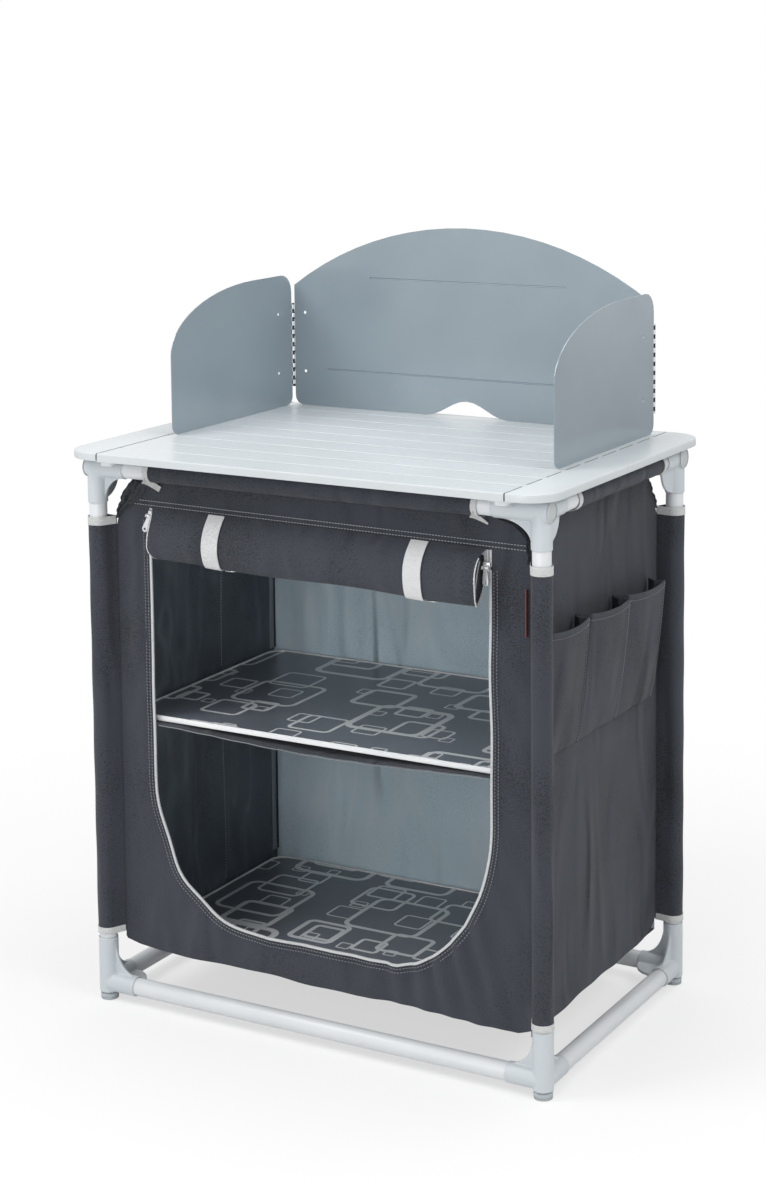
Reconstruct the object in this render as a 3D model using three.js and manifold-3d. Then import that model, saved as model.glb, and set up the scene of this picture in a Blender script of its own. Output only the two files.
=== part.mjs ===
// A camp kitchen cabinet: a plug-together tube frame on screw feet, a slatted worktop with a
// three-panel windscreen standing on it, and a fabric cupboard with two loose shelf boards hung
// inside the frame. Its door is rolled up and held by two straps.
// Millimetres, +X right, +Y back, +Z up, origin on the floor under the middle of the frame.
import * as THREE from 'three';
import { mergeVertices } from 'three/addons/utils/BufferGeometryUtils.js';
import Module from 'manifold-3d';

const wasm = await Module();
wasm.setup();

// General
const clearance = 0.3;
const overrun = 2;
const mergeTolerance = 1e-4;
const roundFacets = 20;
const smallFacets = 12;

// Frame
const postHalfSpacingX = 346;
const postHalfSpacingY = 212.5;
const tubeRadius = 12.5;
const tubeWall = 1.2;
const socketWall = 1.2;
const socketFloorGap = 5.5;
const shortArm = 50;
const longArm = 67;
const fittingBackDepth = 1;
const fittingBackChamfer = 1.5;
const webThickness = 4;
const webInsetShort = 6;
const webInsetThrough = 15;
const finInset = 2;
const finCornerInset = 2;

// Screw feet
const padRadius = 12.5;
const padHeight = 9;
const padGap = 1;
const padFluteDepth = 0.9;
const padFluteCount = 20;
const padSocketDepth = 5;
const stemRadius = 5;
const stemInFitting = 20;

// Worktop
const worktopHeight = 800;
const worktopThickness = 11;
const worktopOverhangX = 29;
const worktopOverhangY = 44;
const slatCount = 9;
const slatGap = 0.6;
const slatChamfer = 1.2;
const slatWall = 1.1;
const endBarWidth = 59;
const endBarGap = 1;
const endBarCornerRadius = 45;
const endBarEdgeRound = 1.5;
const railThickness = 2;
const railWidth = 38;
const railFromSlatEnd = 9.5;
const railSetback = 7;
const lugWidth = 20;
const lugFromFitting = 8;
const lugDrop = 4.5;

// Windscreen
const sheetThickness = 1.2;
const hingeFromSlatEnd = 12;
const hingeFromBackEdge = 20;
const hingePinRadius = 1;
const hingeKnuckleWall = 1.2;
const hingeFoldGap = 0.5;
const hingeBottom = 28;
const knuckleLength = 13;
const knuckleCount = 10;
const knuckleGap = 0.5;
const sheetEdgeGap = 0.7;
const screenEdgeHeight = 186;
const screenTopHeight = 283;
const screenCornerRadius = 14;
const archHalfWidth = 68;
const archHeight = 24;
const wingReach = 326;
const wingTopHeight = 203;
const wingShoulderHeight = 115;
const wingCurveRun = 217;
const wingBackCornerRadius = 28;
const holeRadius = 2.5;
const holeFromPinOnBack = 22;
const holeFromPinOnWing = 41;
const upperHoleHeight = 144;
const lowerHoleHeight = 53;
const ribRadius = 2.6;
const ribGrooveRadius = 1.4;
const upperRibHeight = 202;
const upperRibFromHinge = 136;
const lowerRibHeight = 58;
const lowerRibFromHinge = 59;

// Fabric cupboard, placed from the posts, the lower fittings and the upper tubes
const fabricThickness = 1.6;
const sleeveThickness = 1.3;
const sideWallFromPosts = 22;
const frontWallFromPosts = 12.5;
const cupboardAboveLowerTubes = 55;
const shoulderBelowUpperTubes = 82.4;
const sleeveAboveFitting = 2;
const sleeveTopBelowUpperTubes = 69.4;
const frontSleeveFromPosts = 90;
const sideSleeveFromPosts = 64.5;
const leanBelowUpperTubes = 38.4;
const neckExtra = 6;
const openingFromWallEdge = 57;
const openingBelowUpperTubes = 60.4;
const sillHeight = 52;
const openingCurveRise = 218;
const openingCurveRun = 160;
const foldDepth = 3.5;
const foldHalfWidth = 26;
const foldPlaceShares = [-0.37, -0.2, -0.06, 0.12, 0.25, 0.38];
const foldDepthShares = [0.6, -0.5, 1, -0.7, 0.9, -0.6];
const slingSag = 9;

// Rolled-up door, straps and zips, placed from the edges of the opening
const rollFromOpeningLeft = 13;
const rollFromOpeningRight = 21;
const rollAboveOpening = 9;
const rollHeight = 74;
const rollDepth = 36;
const rollEndRound = 4;
const strapWidth = 26;
const strapThickness = 1.2;
const strapFromOpening = 109;
const strapSeam = 10;
const leftSliderBelowOpening = 4;
const rightSliderBelowOpening = 22;
const sliderFromOpening = 4;
const sliderWidth = 10;
const sliderLength = 13;
const sliderDepth = 5;
const sliderTaperShare = 0.6;
const sliderLugWidth = 1.5;
const sliderLugReach = 5;
const pullPinRadius = 1;
const pullEyeRadius = 2.2;
const pullLength = 24;
const pullThickness = 1.4;
const pullTopWidth = 5;
const pullBottomWidth = 9;
const pullHoleRadius = 1.8;
const leftPullLean = THREE.MathUtils.degToRad(22);

// Side pockets, placed from the edges of the right wall
const pocketThickness = 1.3;
const pocketBelowUpperTubes = 166.4;
const pocketHeight = 170;
const pocketFromFront = 14;
const pocketFromBack = 32;
const pocketCount = 3;
const pocketGap = 3;
const pocketBulgeTop = 26;
const pocketBulgeBottom = 7;

// Shelves
const boardThickness = 6;
const boardSideGap = 6.4;
const boardCornerRadius = 26;
const middleShelfHeight = 419;

// Heights and places that follow from the sizes above
const fittingRadius = tubeRadius + clearance + socketWall;
const fittingBack = fittingRadius + fittingBackDepth;
const socketFloor = tubeRadius + socketFloorGap;
const worktopHalfWidth = postHalfSpacingX + worktopOverhangX;
const worktopHalfDepth = postHalfSpacingY + worktopOverhangY;
const worktopUnderside = worktopHeight - worktopThickness;
const slatPitch = 2 * worktopHalfDepth / slatCount;
const slatHalfLength = worktopHalfWidth - endBarWidth - endBarGap;
const railBottom = worktopUnderside - clearance - railThickness;
const upperAxis = railBottom - clearance - fittingRadius;
const lowerAxis = padHeight + padGap + fittingBack;
const sleeveBore = tubeRadius + clearance;
const sleeveRadius = sleeveBore + sleeveThickness;
const hingeHalfSpacing = slatHalfLength - hingeFromSlatEnd;
const hingeKnuckleRadius = hingePinRadius + clearance + hingeKnuckleWall;
const sheetEdgeFromPin = hingeKnuckleRadius + sheetEdgeGap;
const hingeY = worktopHalfDepth - hingeFromBackEdge;
const screenBase = worktopHeight + clearance;
const cupboardHalfWidth = postHalfSpacingX - sideWallFromPosts;
const cupboardHalfDepth = postHalfSpacingY - frontWallFromPosts;
const panelInnerX = cupboardHalfWidth - fabricThickness;
const panelInnerY = cupboardHalfDepth - fabricThickness;
const cupboardBottom = lowerAxis + cupboardAboveLowerTubes;
const cupboardShoulder = upperAxis - shoulderBelowUpperTubes;
const floorTop = cupboardBottom + fabricThickness;
const sleeveBottom = lowerAxis + longArm + sleeveAboveFitting;
const sleeveTop = upperAxis - sleeveTopBelowUpperTubes;
const frontSleeveHalfLength = postHalfSpacingX - frontSleeveFromPosts;
const sideSleeveHalfLength = postHalfSpacingY - sideSleeveFromPosts;
const sideLeanStart = upperAxis - leanBelowUpperTubes;
const openingHalfWidth = cupboardHalfWidth - openingFromWallEdge;
const openingTop = upperAxis - openingBelowUpperTubes;
const openingBottom = cupboardBottom + sillHeight;
const openingCurveTop = openingBottom + openingCurveRise;
const rollLeftEnd = -openingHalfWidth + rollFromOpeningLeft;
const rollRightEnd = openingHalfWidth - rollFromOpeningRight;
const rollTop = openingTop + rollAboveOpening;
const rollBottom = rollTop - rollHeight;
const pocketTop = upperAxis - pocketBelowUpperTubes;
const pocketBottom = pocketTop - pocketHeight;
const pocketFront = -cupboardHalfDepth + pocketFromFront;
const pocketBack = cupboardHalfDepth - pocketFromBack;
const boardHalfWidth = panelInnerX - boardSideGap;
const boardHalfDepth = panelInnerY - boardSideGap;

// Finishes
const frameFinish = { color: 0xdce1e4, roughness: 0.42, metalness: 0.1 };
const fittingFinish = { color: 0xd3d8dc, roughness: 0.5, metalness: 0 };
const footFinish = { color: 0xaab2b5, roughness: 0.55, metalness: 0 };
const worktopFinish = { color: 0xdbe0e3, roughness: 0.4, metalness: 0.15 };
const sheetFinish = { color: 0x8c979e, roughness: 0.45, metalness: 0.4 };
const fabricFinish = { color: 0x45484e, roughness: 0.9, metalness: 0 };
const webbingFinish = { color: 0xcbccce, roughness: 0.85, metalness: 0 };
const zipFinish = { color: 0xb9bcbe, roughness: 0.35, metalness: 0.8 };
const boardFinish = { color: 0x4a4f58, roughness: 0.5, metalness: 0 };

const cabinet = new THREE.Group();

// Position-only copy with shared corners merged, flat triangles dropped and faces turned out
function closed(geometry) {
  const bare = new THREE.BufferGeometry();
  bare.setAttribute('position', geometry.getAttribute('position').clone());
  if (geometry.index) {
    bare.setIndex(geometry.index.clone());
  }
  const merged = mergeVertices(bare, mergeTolerance);
  const points = merged.getAttribute('position');
  const corners = [0, 1, 2].map(() => new THREE.Vector3());
  const kept = [];
  let volume = 0;
  for (let i = 0; i < merged.index.count; i += 3) {
    const face = [0, 1, 2].map((k) => merged.index.getX(i + k));
    if (new Set(face).size === 3) {
      face.forEach((vertex, k) => corners[k].fromBufferAttribute(points, vertex));
      volume += corners[0].dot(corners[1].clone().cross(corners[2]));
      kept.push(...face);
    }
  }
  merged.setIndex(volume < 0 ? kept.reverse() : kept);
  return merged;
}

function solidOf(geometry) {
  const merged = closed(geometry);
  return new wasm.Manifold(new wasm.Mesh({
    numProp: 3,
    vertProperties: new Float32Array(merged.getAttribute('position').array),
    triVerts: new Uint32Array(merged.index.array),
  }));
}

function geometryOf(solid) {
  const mesh = solid.getMesh();
  const geometry = new THREE.BufferGeometry();
  geometry.setAttribute('position', new THREE.BufferAttribute(new Float32Array(mesh.vertProperties), 3));
  geometry.setIndex(Array.from(mesh.triVerts));
  return geometry;
}

// The geometries in joined as one body, with the geometries in removed cut away
function shaped(joined, removed = []) {
  const whole = joined.map(solidOf).reduce((sum, next) => sum.add(next));
  return geometryOf(removed.map(solidOf).reduce((rest, next) => rest.subtract(next), whole));
}

function common(first, second) {
  return geometryOf(solidOf(first).intersect(solidOf(second)));
}

function place(name, geometry, finish, position = [0, 0, 0]) {
  const surface = closed(geometry);
  surface.computeVertexNormals();
  const mesh = new THREE.Mesh(surface, new THREE.MeshStandardMaterial(finish));
  mesh.name = name;
  mesh.position.set(...position);
  cabinet.add(mesh);
}

function box(x, y, z) {
  const geometry = new THREE.BoxGeometry(x[1] - x[0], y[1] - y[0], z[1] - z[0]);
  return geometry.translate((x[0] + x[1]) / 2, (y[0] + y[1]) / 2, (z[0] + z[1]) / 2);
}

// A turned solid along +Z from [radius, height] pairs
function turned(profile, facets = roundFacets) {
  const points = profile.map(([radius, height]) => new THREE.Vector2(radius, height));
  return new THREE.LatheGeometry(points, facets).rotateX(Math.PI / 2);
}

function rod(radius, from, to, facets = roundFacets) {
  return turned([[0, from], [radius, from], [radius, to], [0, to]], facets);
}

function pipe(inner, outer, from, to) {
  return turned([[inner, from], [outer, from], [outer, to], [inner, to], [inner, from]]);
}

const turnTo = {
  x: (geometry) => geometry.rotateY(Math.PI / 2),
  y: (geometry) => geometry.rotateX(-Math.PI / 2),
  z: (geometry) => geometry,
};

const unit = {
  x: new THREE.Vector3(1, 0, 0),
  y: new THREE.Vector3(0, 1, 0),
  z: new THREE.Vector3(0, 0, 1),
};

// A plate whose outline lies in the plane of two axes; it fills from low to high along the third,
// which points along across cross up
function plate(shape, across, up, low, high, bevel = null) {
  const settings = bevel ?? { bevelEnabled: false };
  const geometry = new THREE.ExtrudeGeometry(shape, { ...settings, depth: high - low });
  geometry.translate(0, 0, low);
  const third = unit[across].clone().cross(unit[up]);
  return geometry.applyMatrix4(new THREE.Matrix4().makeBasis(unit[across], unit[up], third));
}

// A cloth whose thickness lies along Z, pushed up and down by depthAt, which is given each point's
// place across the cloth as shares from -0.5 to 0.5
function draped(width, length, thickness, columns, rows, depthAt) {
  const geometry = new THREE.BoxGeometry(width, length, thickness, columns, rows, 1);
  const points = geometry.getAttribute('position');
  for (let i = 0; i < points.count; i += 1) {
    const shift = depthAt(points.getX(i) / width, points.getY(i) / length);
    points.setZ(i, points.getZ(i) + shift);
  }
  return geometry;
}

function outline(points) {
  return new THREE.Shape(points.map(([u, v]) => new THREE.Vector2(u, v)));
}

// Points of an ellipse quarter or other stretch, angles in right angles
function arc(centre, radii, from, to, steps) {
  return Array.from({ length: steps + 1 }, (_, i) => {
    const angle = (from + (to - from) * i / steps) * Math.PI / 2;
    return [centre[0] + radii[0] * Math.cos(angle), centre[1] + radii[1] * Math.sin(angle)];
  });
}

function mirroredX(points) {
  return points.map(([u, v]) => [-u, v]).reverse();
}

// Corner fittings: three sockets meeting at a node, one of them longer and closed flat behind the
// node, hollow-curved webs beside the long socket and a rounded fin between the short ones
function concaveWeb(reachAcross, reachUp) {
  const radii = [reachAcross - fittingRadius, reachUp - fittingRadius];
  const curve = arc([reachAcross, reachUp], radii, 3, 2, 6);
  return outline([[0, 0], [reachAcross, 0], ...curve, [0, reachUp]]);
}

function roundFin() {
  const centre = fittingRadius - finCornerInset;
  const finReach = shortArm - finInset;
  const radius = finReach - centre;
  const curve = arc([centre, centre], [radius, radius], 0, 1, 6);
  return outline([[0, 0], [finReach, 0], ...curve, [0, finReach]]);
}

function fitting(through, throughLength, footSocket) {
  const joined = [];
  const removed = [];
  for (const axis of ['x', 'y', 'z']) {
    const length = axis === through ? throughLength : shortArm;
    const profile = [[0, 0], [fittingRadius, 0], [fittingRadius, length], [0, length]];
    if (axis === through) {
      const rim = [fittingRadius - fittingBackChamfer, -fittingBack];
      profile.splice(0, 2, [0, -fittingBack], rim, [fittingRadius, -fittingBack + fittingBackChamfer]);
    }
    joined.push(turnTo[axis](turned(profile)));
    removed.push(turnTo[axis](rod(sleeveBore, socketFloor, length + overrun)));
  }
  const reach = (axis) => (axis === through ? throughLength - webInsetThrough : shortArm - webInsetShort);
  for (const [across, up] of [['x', 'y'], ['x', 'z'], ['y', 'z']]) {
    const touches = through === across || through === up;
    const shape = touches ? concaveWeb(reach(across), reach(up)) : roundFin();
    joined.push(plate(shape, across, up, -webThickness / 2, webThickness / 2));
  }
  if (footSocket) {
    removed.push(rod(stemRadius + clearance, -fittingBack - overrun, socketFloor - stemRadius, smallFacets));
  }
  return shaped(joined, removed);
}

const corners = [
  ['front_left', -1, -1],
  ['front_right', 1, -1],
  ['back_left', -1, 1],
  ['back_right', 1, 1],
];

const lowerFitting = fitting('z', longArm, true);
const upperRightFitting = fitting('x', longArm, false);
const upperLeftFitting = fitting('x', shortArm, false);

for (const [corner, sideX, sideY] of corners) {
  const nodeX = sideX * postHalfSpacingX;
  const nodeY = sideY * postHalfSpacingY;
  const lower = lowerFitting.clone().scale(-sideX, -sideY, 1);
  place(`fitting_lower_${corner}`, lower, fittingFinish, [nodeX, nodeY, lowerAxis]);
  const upper = (sideX > 0 ? upperRightFitting : upperLeftFitting).clone().scale(-sideX, -sideY, -1);
  place(`fitting_upper_${corner}`, upper, fittingFinish, [nodeX, nodeY, upperAxis]);
}

// Tubes: each runs between the floors of the two sockets that hold it
const tubeInset = socketFloor + clearance;

function tube(length) {
  return pipe(tubeRadius - tubeWall, tubeRadius, 0, length);
}

for (const [corner, sideX, sideY] of corners) {
  const start = [sideX * postHalfSpacingX, sideY * postHalfSpacingY, lowerAxis + tubeInset];
  place(`post_${corner}`, tube(upperAxis - lowerAxis - 2 * tubeInset), frameFinish, start);
}

for (const [level, height] of [['lower', lowerAxis], ['upper', upperAxis]]) {
  for (const [side, sideY] of [['front', -1], ['back', 1]]) {
    const geometry = turnTo.x(tube(2 * (postHalfSpacingX - tubeInset)));
    const start = [-postHalfSpacingX + tubeInset, sideY * postHalfSpacingY, height];
    place(`tube_${level}_${side}`, geometry, frameFinish, start);
  }
  for (const [side, sideX] of [['left', -1], ['right', 1]]) {
    const geometry = turnTo.y(tube(2 * (postHalfSpacingY - tubeInset)));
    const start = [sideX * postHalfSpacingX, -postHalfSpacingY + tubeInset, height];
    place(`tube_${level}_${side}`, geometry, frameFinish, start);
  }
}

// Screw feet: a fluted pad on a threaded stem that turns into the closed end of the long socket
function footPad() {
  const points = [];
  for (let i = 0; i < 2 * padFluteCount; i += 1) {
    const radius = i % 2 ? padRadius - padFluteDepth : padRadius;
    const angle = Math.PI * i / padFluteCount;
    points.push([radius * Math.cos(angle), radius * Math.sin(angle)]);
  }
  const socket = rod(stemRadius + clearance, padHeight - padSocketDepth, padHeight + overrun, smallFacets);
  return shaped([plate(outline(points), 'x', 'y', 0, padHeight)], [socket]);
}

const stemBottom = padHeight - padSocketDepth + clearance;
const stemTop = lowerAxis - fittingBack + stemInFitting;

for (const [corner, sideX, sideY] of corners) {
  const at = [sideX * postHalfSpacingX, sideY * postHalfSpacingY, 0];
  place(`foot_pad_${corner}`, footPad(), footFinish, at);
  place(`foot_stem_${corner}`, rod(stemRadius, stemBottom, stemTop, smallFacets), footFinish, at);
}

// Worktop: hollow slats between two moulded end bars, on two flat rails with locating lugs that
// reach down in front of and behind the frame's upper tubes
function slat() {
  const half = (slatPitch - slatGap) / 2;
  const inner = half - slatWall;
  const profile = outline([
    [-half, 0],
    [half, 0],
    [half, worktopThickness - slatChamfer],
    [half - slatChamfer, worktopThickness],
    [-half + slatChamfer, worktopThickness],
    [-half, worktopThickness - slatChamfer],
  ]);
  const top = worktopThickness - slatWall;
  profile.holes.push(outline([[-inner, slatWall], [-inner, top], [inner, top], [inner, slatWall]]));
  return plate(profile, 'y', 'z', -slatHalfLength, slatHalfLength);
}

for (let i = 0; i < slatCount; i += 1) {
  const y = -worktopHalfDepth + (i + 0.5) * slatPitch;
  place(`slat_${i + 1}`, slat(), worktopFinish, [0, y, worktopUnderside]);
}

function endBar() {
  const bevel = {
    bevelEnabled: true,
    bevelThickness: endBarEdgeRound,
    bevelSize: endBarEdgeRound,
    bevelOffset: -endBarEdgeRound,
    bevelSegments: 1,
  };
  const inner = slatHalfLength + endBarGap;
  const corner = [worktopHalfWidth - endBarCornerRadius, worktopHalfDepth - endBarCornerRadius];
  const radii = [endBarCornerRadius, endBarCornerRadius];
  const backCurve = arc(corner, radii, 0, 1, 6);
  const frontCurve = arc([corner[0], -corner[1]], radii, -1, 0, 6);
  const shape = outline([[inner, -worktopHalfDepth], ...frontCurve, ...backCurve, [inner, worktopHalfDepth]]);
  return plate(shape, 'x', 'y', endBarEdgeRound, worktopThickness - endBarEdgeRound, bevel);
}

function rail() {
  const halfLength = worktopHalfDepth - railSetback;
  const half = railWidth / 2;
  const bar = box([-half, half], [-halfLength, halfLength], [0, railThickness]);
  const lugStart = postHalfSpacingY + fittingRadius + lugFromFitting;
  const lugs = [-1, 1].map((side) => {
    const ends = [side * halfLength, side * lugStart].sort((a, b) => a - b);
    return box([-lugWidth / 2, lugWidth / 2], ends, [-lugDrop, railThickness]);
  });
  return shaped([bar, ...lugs]);
}

for (const [side, sideX] of [['left', -1], ['right', 1]]) {
  const bar = endBar().scale(sideX, 1, 1);
  place(`end_bar_${side}`, bar, worktopFinish, [0, 0, worktopUnderside]);
  const railX = sideX * (slatHalfLength - railFromSlatEnd);
  place(`worktop_rail_${side}`, rail(), frameFinish, [railX, 0, railBottom]);
}

// Windscreen: a back panel and two wings of thin sheet, joined by knuckles rolled from the sheets
// around a pin that stays with the back panel
const foldOffset = hingeFoldGap / 2;

function knuckles(first, bore) {
  const rings = [];
  for (let i = first; i < knuckleCount; i += 2) {
    const from = hingeBottom + i * knuckleLength;
    const to = from + knuckleLength - knuckleGap;
    const ring = bore > 0
      ? turned([[bore, from], [hingeKnuckleRadius, from], [hingeKnuckleRadius, to], [bore, to],
        [bore, from]], smallFacets)
      : rod(hingeKnuckleRadius, from, to, smallFacets);
    rings.push([ring, from, to]);
  }
  return rings;
}

function bellCurve() {
  const steps = 12;
  return Array.from({ length: steps + 1 }, (_, i) => {
    const share = 1 - 2 * i / steps;
    return [share * archHalfWidth, archHeight * (1 + Math.cos(Math.PI * share)) / 2];
  });
}

function backPanel() {
  const edge = hingeHalfSpacing - sheetEdgeFromPin;
  const rise = screenTopHeight - screenEdgeHeight;
  const archRadius = (edge * edge + rise * rise) / (2 * rise);
  const sweep = Math.asin(edge / archRadius) / (Math.PI / 2);
  const top = arc([0, screenTopHeight - archRadius], [archRadius, archRadius], 1 - sweep, 1 + sweep, 20);
  const foot = [edge - screenCornerRadius, screenCornerRadius];
  const radii = [screenCornerRadius, screenCornerRadius];
  const rightFoot = arc(foot, radii, -1, 0, 4);
  const shape = outline([...rightFoot, ...top, ...mirroredX(rightFoot), ...bellCurve().reverse()]);
  const low = -foldOffset - sheetThickness;
  const joined = [plate(shape, 'x', 'z', low, -foldOffset)];
  const removed = [];
  for (const side of [-1, 1]) {
    for (const [ring, from, to] of knuckles(0, 0)) {
      joined.push(ring.translate(side * hingeHalfSpacing, 0, 0));
      const tab = [side * (edge - sheetEdgeFromPin), side * hingeHalfSpacing].sort((a, b) => a - b);
      joined.push(box(tab, [foldOffset, foldOffset + sheetThickness], [from, to]));
    }
    const pinTop = hingeBottom + knuckleCount * knuckleLength - knuckleGap;
    joined.push(rod(hingePinRadius, hingeBottom, pinTop, smallFacets).translate(side * hingeHalfSpacing, 0, 0));
    for (const height of [lowerHoleHeight, upperHoleHeight]) {
      const hole = turnTo.y(rod(holeRadius, -overrun, overrun, smallFacets));
      removed.push(hole.translate(side * (hingeHalfSpacing - holeFromPinOnBack), 0, height));
    }
  }
  for (const [height, fromHinge] of [[upperRibHeight, upperRibFromHinge], [lowerRibHeight, lowerRibFromHinge]]) {
    const half = hingeHalfSpacing - fromHinge;
    const sheetMiddle = foldOffset + sheetThickness / 2;
    joined.push(turnTo.x(rod(ribRadius, -half, half, smallFacets)).translate(0, sheetMiddle, height));
    const groove = half - ribRadius;
    removed.push(turnTo.x(rod(ribGrooveRadius, -groove, groove, smallFacets)).translate(0, foldOffset, height));
    const front = foldOffset - ribRadius;
    removed.push(box([-half - overrun, half + overrun], [front, foldOffset], [height - ribRadius, height + ribRadius]));
  }
  return shaped(joined, removed);
}

function wing(side) {
  const back = -sheetEdgeFromPin;
  const front = -wingReach;
  const shoulderRise = wingTopHeight - wingShoulderHeight;
  const curve = arc([front + wingCurveRun, wingShoulderHeight], [wingCurveRun, shoulderRise], 1, 2, 14);
  const cornerCentre = [back - wingBackCornerRadius, wingTopHeight - wingBackCornerRadius];
  const backCorner = arc(cornerCentre, [wingBackCornerRadius, wingBackCornerRadius], 0, 1, 5);
  const radii = [screenCornerRadius, screenCornerRadius];
  const frontFoot = arc([front + screenCornerRadius, screenCornerRadius], radii, 2, 3, 4);
  const backFoot = arc([back - screenCornerRadius, screenCornerRadius], radii, -1, 0, 4);
  const shape = outline([...backFoot, ...backCorner, ...curve, ...frontFoot]);
  const sheet = [side * foldOffset, side * (foldOffset + sheetThickness)].sort((a, b) => a - b);
  const joined = [plate(shape, 'y', 'z', ...sheet)];
  const removed = [];
  const bore = hingePinRadius + clearance;
  for (const [ring, from, to] of knuckles(1, 0)) {
    joined.push(ring);
    joined.push(box(sheet, [2 * back, 0], [from, to]));
    removed.push(rod(bore, from - overrun, to + overrun, smallFacets));
  }
  for (const height of [lowerHoleHeight, upperHoleHeight]) {
    const hole = turnTo.x(rod(holeRadius, -overrun, overrun, smallFacets));
    removed.push(hole.translate(0, -holeFromPinOnWing, height));
  }
  return shaped(joined, removed);
}

place('windscreen_back', backPanel(), sheetFinish, [0, hingeY, screenBase]);
place('windscreen_wing_left', wing(-1), sheetFinish, [-hingeHalfSpacing, hingeY, screenBase]);
place('windscreen_wing_right', wing(1), sheetFinish, [hingeHalfSpacing, hingeY, screenBase]);

// Fabric cupboard: four walls and a floor. The walls hang on sleeves around the upper tubes, and
// the side walls also hold sleeves around the posts by a narrow tongue at each corner
function wallOutline(half, sleeveHalf, top) {
  return [[-half, cupboardBottom], [half, cupboardBottom], [half, cupboardShoulder], [sleeveHalf, top],
    [-sleeveHalf, top], [-half, cupboardShoulder]];
}

function opening() {
  const radii = [openingCurveRun, openingCurveTop - openingBottom];
  const right = arc([openingHalfWidth - openingCurveRun, openingCurveTop], radii, -1, 0, 8);
  return outline([...right, [openingHalfWidth, openingTop], [-openingHalfWidth, openingTop], ...mirroredX(right)]);
}

function lengthwiseWall(sideY) {
  const half = panelInnerX - clearance;
  const shape = outline(wallOutline(half, frontSleeveHalfLength, upperAxis));
  if (sideY < 0) {
    shape.holes.push(opening());
  }
  const faces = [-sideY * panelInnerY, -sideY * cupboardHalfDepth].sort((a, b) => a - b);
  const wall = plate(shape, 'x', 'z', ...faces);
  const sleeve = turnTo.x(rod(sleeveRadius, -frontSleeveHalfLength, frontSleeveHalfLength));
  const bore = turnTo.x(rod(sleeveBore, -frontSleeveHalfLength - overrun, frontSleeveHalfLength + overrun));
  const at = [0, sideY * postHalfSpacingY, upperAxis];
  return shaped([wall, sleeve.translate(...at)], [bore.translate(...at)]);
}

// Main folds of a loose side wall: they fade out at its four edges and where the sling holds it
function wallFolds(acrossShare, upShare) {
  const edgeFade = Math.min(1, (0.5 - Math.abs(acrossShare)) * 2 * cupboardHalfDepth / foldHalfWidth);
  const fade = edgeFade * Math.abs(Math.sin(2 * Math.PI * upShare));
  return foldPlaceShares.reduce((sum, placeShare, i) => {
    const away = Math.abs(acrossShare - placeShare) * 2 * cupboardHalfDepth / foldHalfWidth;
    const swell = away < 1 ? (1 + Math.cos(Math.PI * away)) / 2 : 0;
    return sum + foldDepth * foldDepthShares[i] * swell * fade;
  }, 0);
}

function sideWall(folded) {
  const neck = sideSleeveHalfLength + neckExtra;
  const shape = outline(wallOutline(cupboardHalfDepth, neck, sideLeanStart));
  let wall = plate(shape, 'y', 'z', panelInnerX, cupboardHalfWidth);
  if (folded) {
    const rise = sideLeanStart - cupboardBottom;
    const cloth = draped(2 * cupboardHalfDepth, rise, fabricThickness, 24, 8, wallFolds);
    cloth.applyMatrix4(new THREE.Matrix4().makeBasis(unit.y, unit.z, unit.x));
    cloth.translate(cupboardHalfWidth - fabricThickness / 2, 0, cupboardBottom + rise / 2);
    wall = common(cloth, plate(shape, 'y', 'z', panelInnerX - foldDepth, cupboardHalfWidth + foldDepth));
  }
  const leanTopX = postHalfSpacingX - sleeveBore;
  const lean = outline([
    [panelInnerX, sideLeanStart - fabricThickness],
    [cupboardHalfWidth, sideLeanStart - fabricThickness],
    [leanTopX, upperAxis],
    [leanTopX - sleeveThickness, upperAxis],
  ]);
  const joined = [wall, plate(lean, 'x', 'z', -sideSleeveHalfLength, sideSleeveHalfLength)];
  const top = [postHalfSpacingX, 0, upperAxis];
  joined.push(turnTo.y(rod(sleeveRadius, -sideSleeveHalfLength, sideSleeveHalfLength)).translate(...top));
  const run = sideSleeveHalfLength + overrun;
  const removed = [turnTo.y(rod(sleeveBore, -run, run)).translate(...top)];
  for (const sideY of [-1, 1]) {
    const post = new THREE.Vector2(postHalfSpacingX, sideY * postHalfSpacingY);
    const edge = new THREE.Vector2(cupboardHalfWidth - fabricThickness / 2,
      sideY * (cupboardHalfDepth - fabricThickness / 2));
    const along = edge.clone().sub(post).normalize();
    const across = new THREE.Vector2(-along.y, along.x).multiplyScalar(fabricThickness / 2);
    const start = post.clone().addScaledVector(along, sleeveBore);
    const tongue = [start.clone().add(across), start.clone().sub(across), edge.clone().sub(across),
      edge.clone().add(across)];
    joined.push(plate(outline(tongue.map((p) => [p.x, p.y])), 'x', 'y', sleeveBottom, sleeveTop));
    joined.push(rod(sleeveRadius, sleeveBottom, sleeveTop).translate(post.x, post.y, 0));
    removed.push(rod(sleeveBore, sleeveBottom - overrun, sleeveTop + overrun).translate(post.x, post.y, 0));
  }
  return shaped(joined, removed);
}

const floorX = panelInnerX - clearance;
const floorY = panelInnerY - clearance;

place('cupboard_front', lengthwiseWall(-1), fabricFinish);
place('cupboard_back', lengthwiseWall(1), fabricFinish);
place('cupboard_right', sideWall(false), fabricFinish);
place('cupboard_left', sideWall(true).scale(-1, 1, 1), fabricFinish);
place('cupboard_floor', box([-floorX, floorX], [-floorY, floorY], [cupboardBottom, floorTop]), fabricFinish);

// Shelves: a board lies on the cupboard's floor and another on a fabric sling between the walls
function board() {
  const centre = [boardHalfWidth - boardCornerRadius, boardHalfDepth - boardCornerRadius];
  const radii = [boardCornerRadius, boardCornerRadius];
  const back = arc(centre, radii, 0, 1, 5);
  const front = arc([centre[0], -centre[1]], radii, -1, 0, 5);
  const right = [...front, ...back];
  return plate(outline([...right, ...mirroredX(right)]), 'x', 'y', 0, boardThickness);
}

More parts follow.
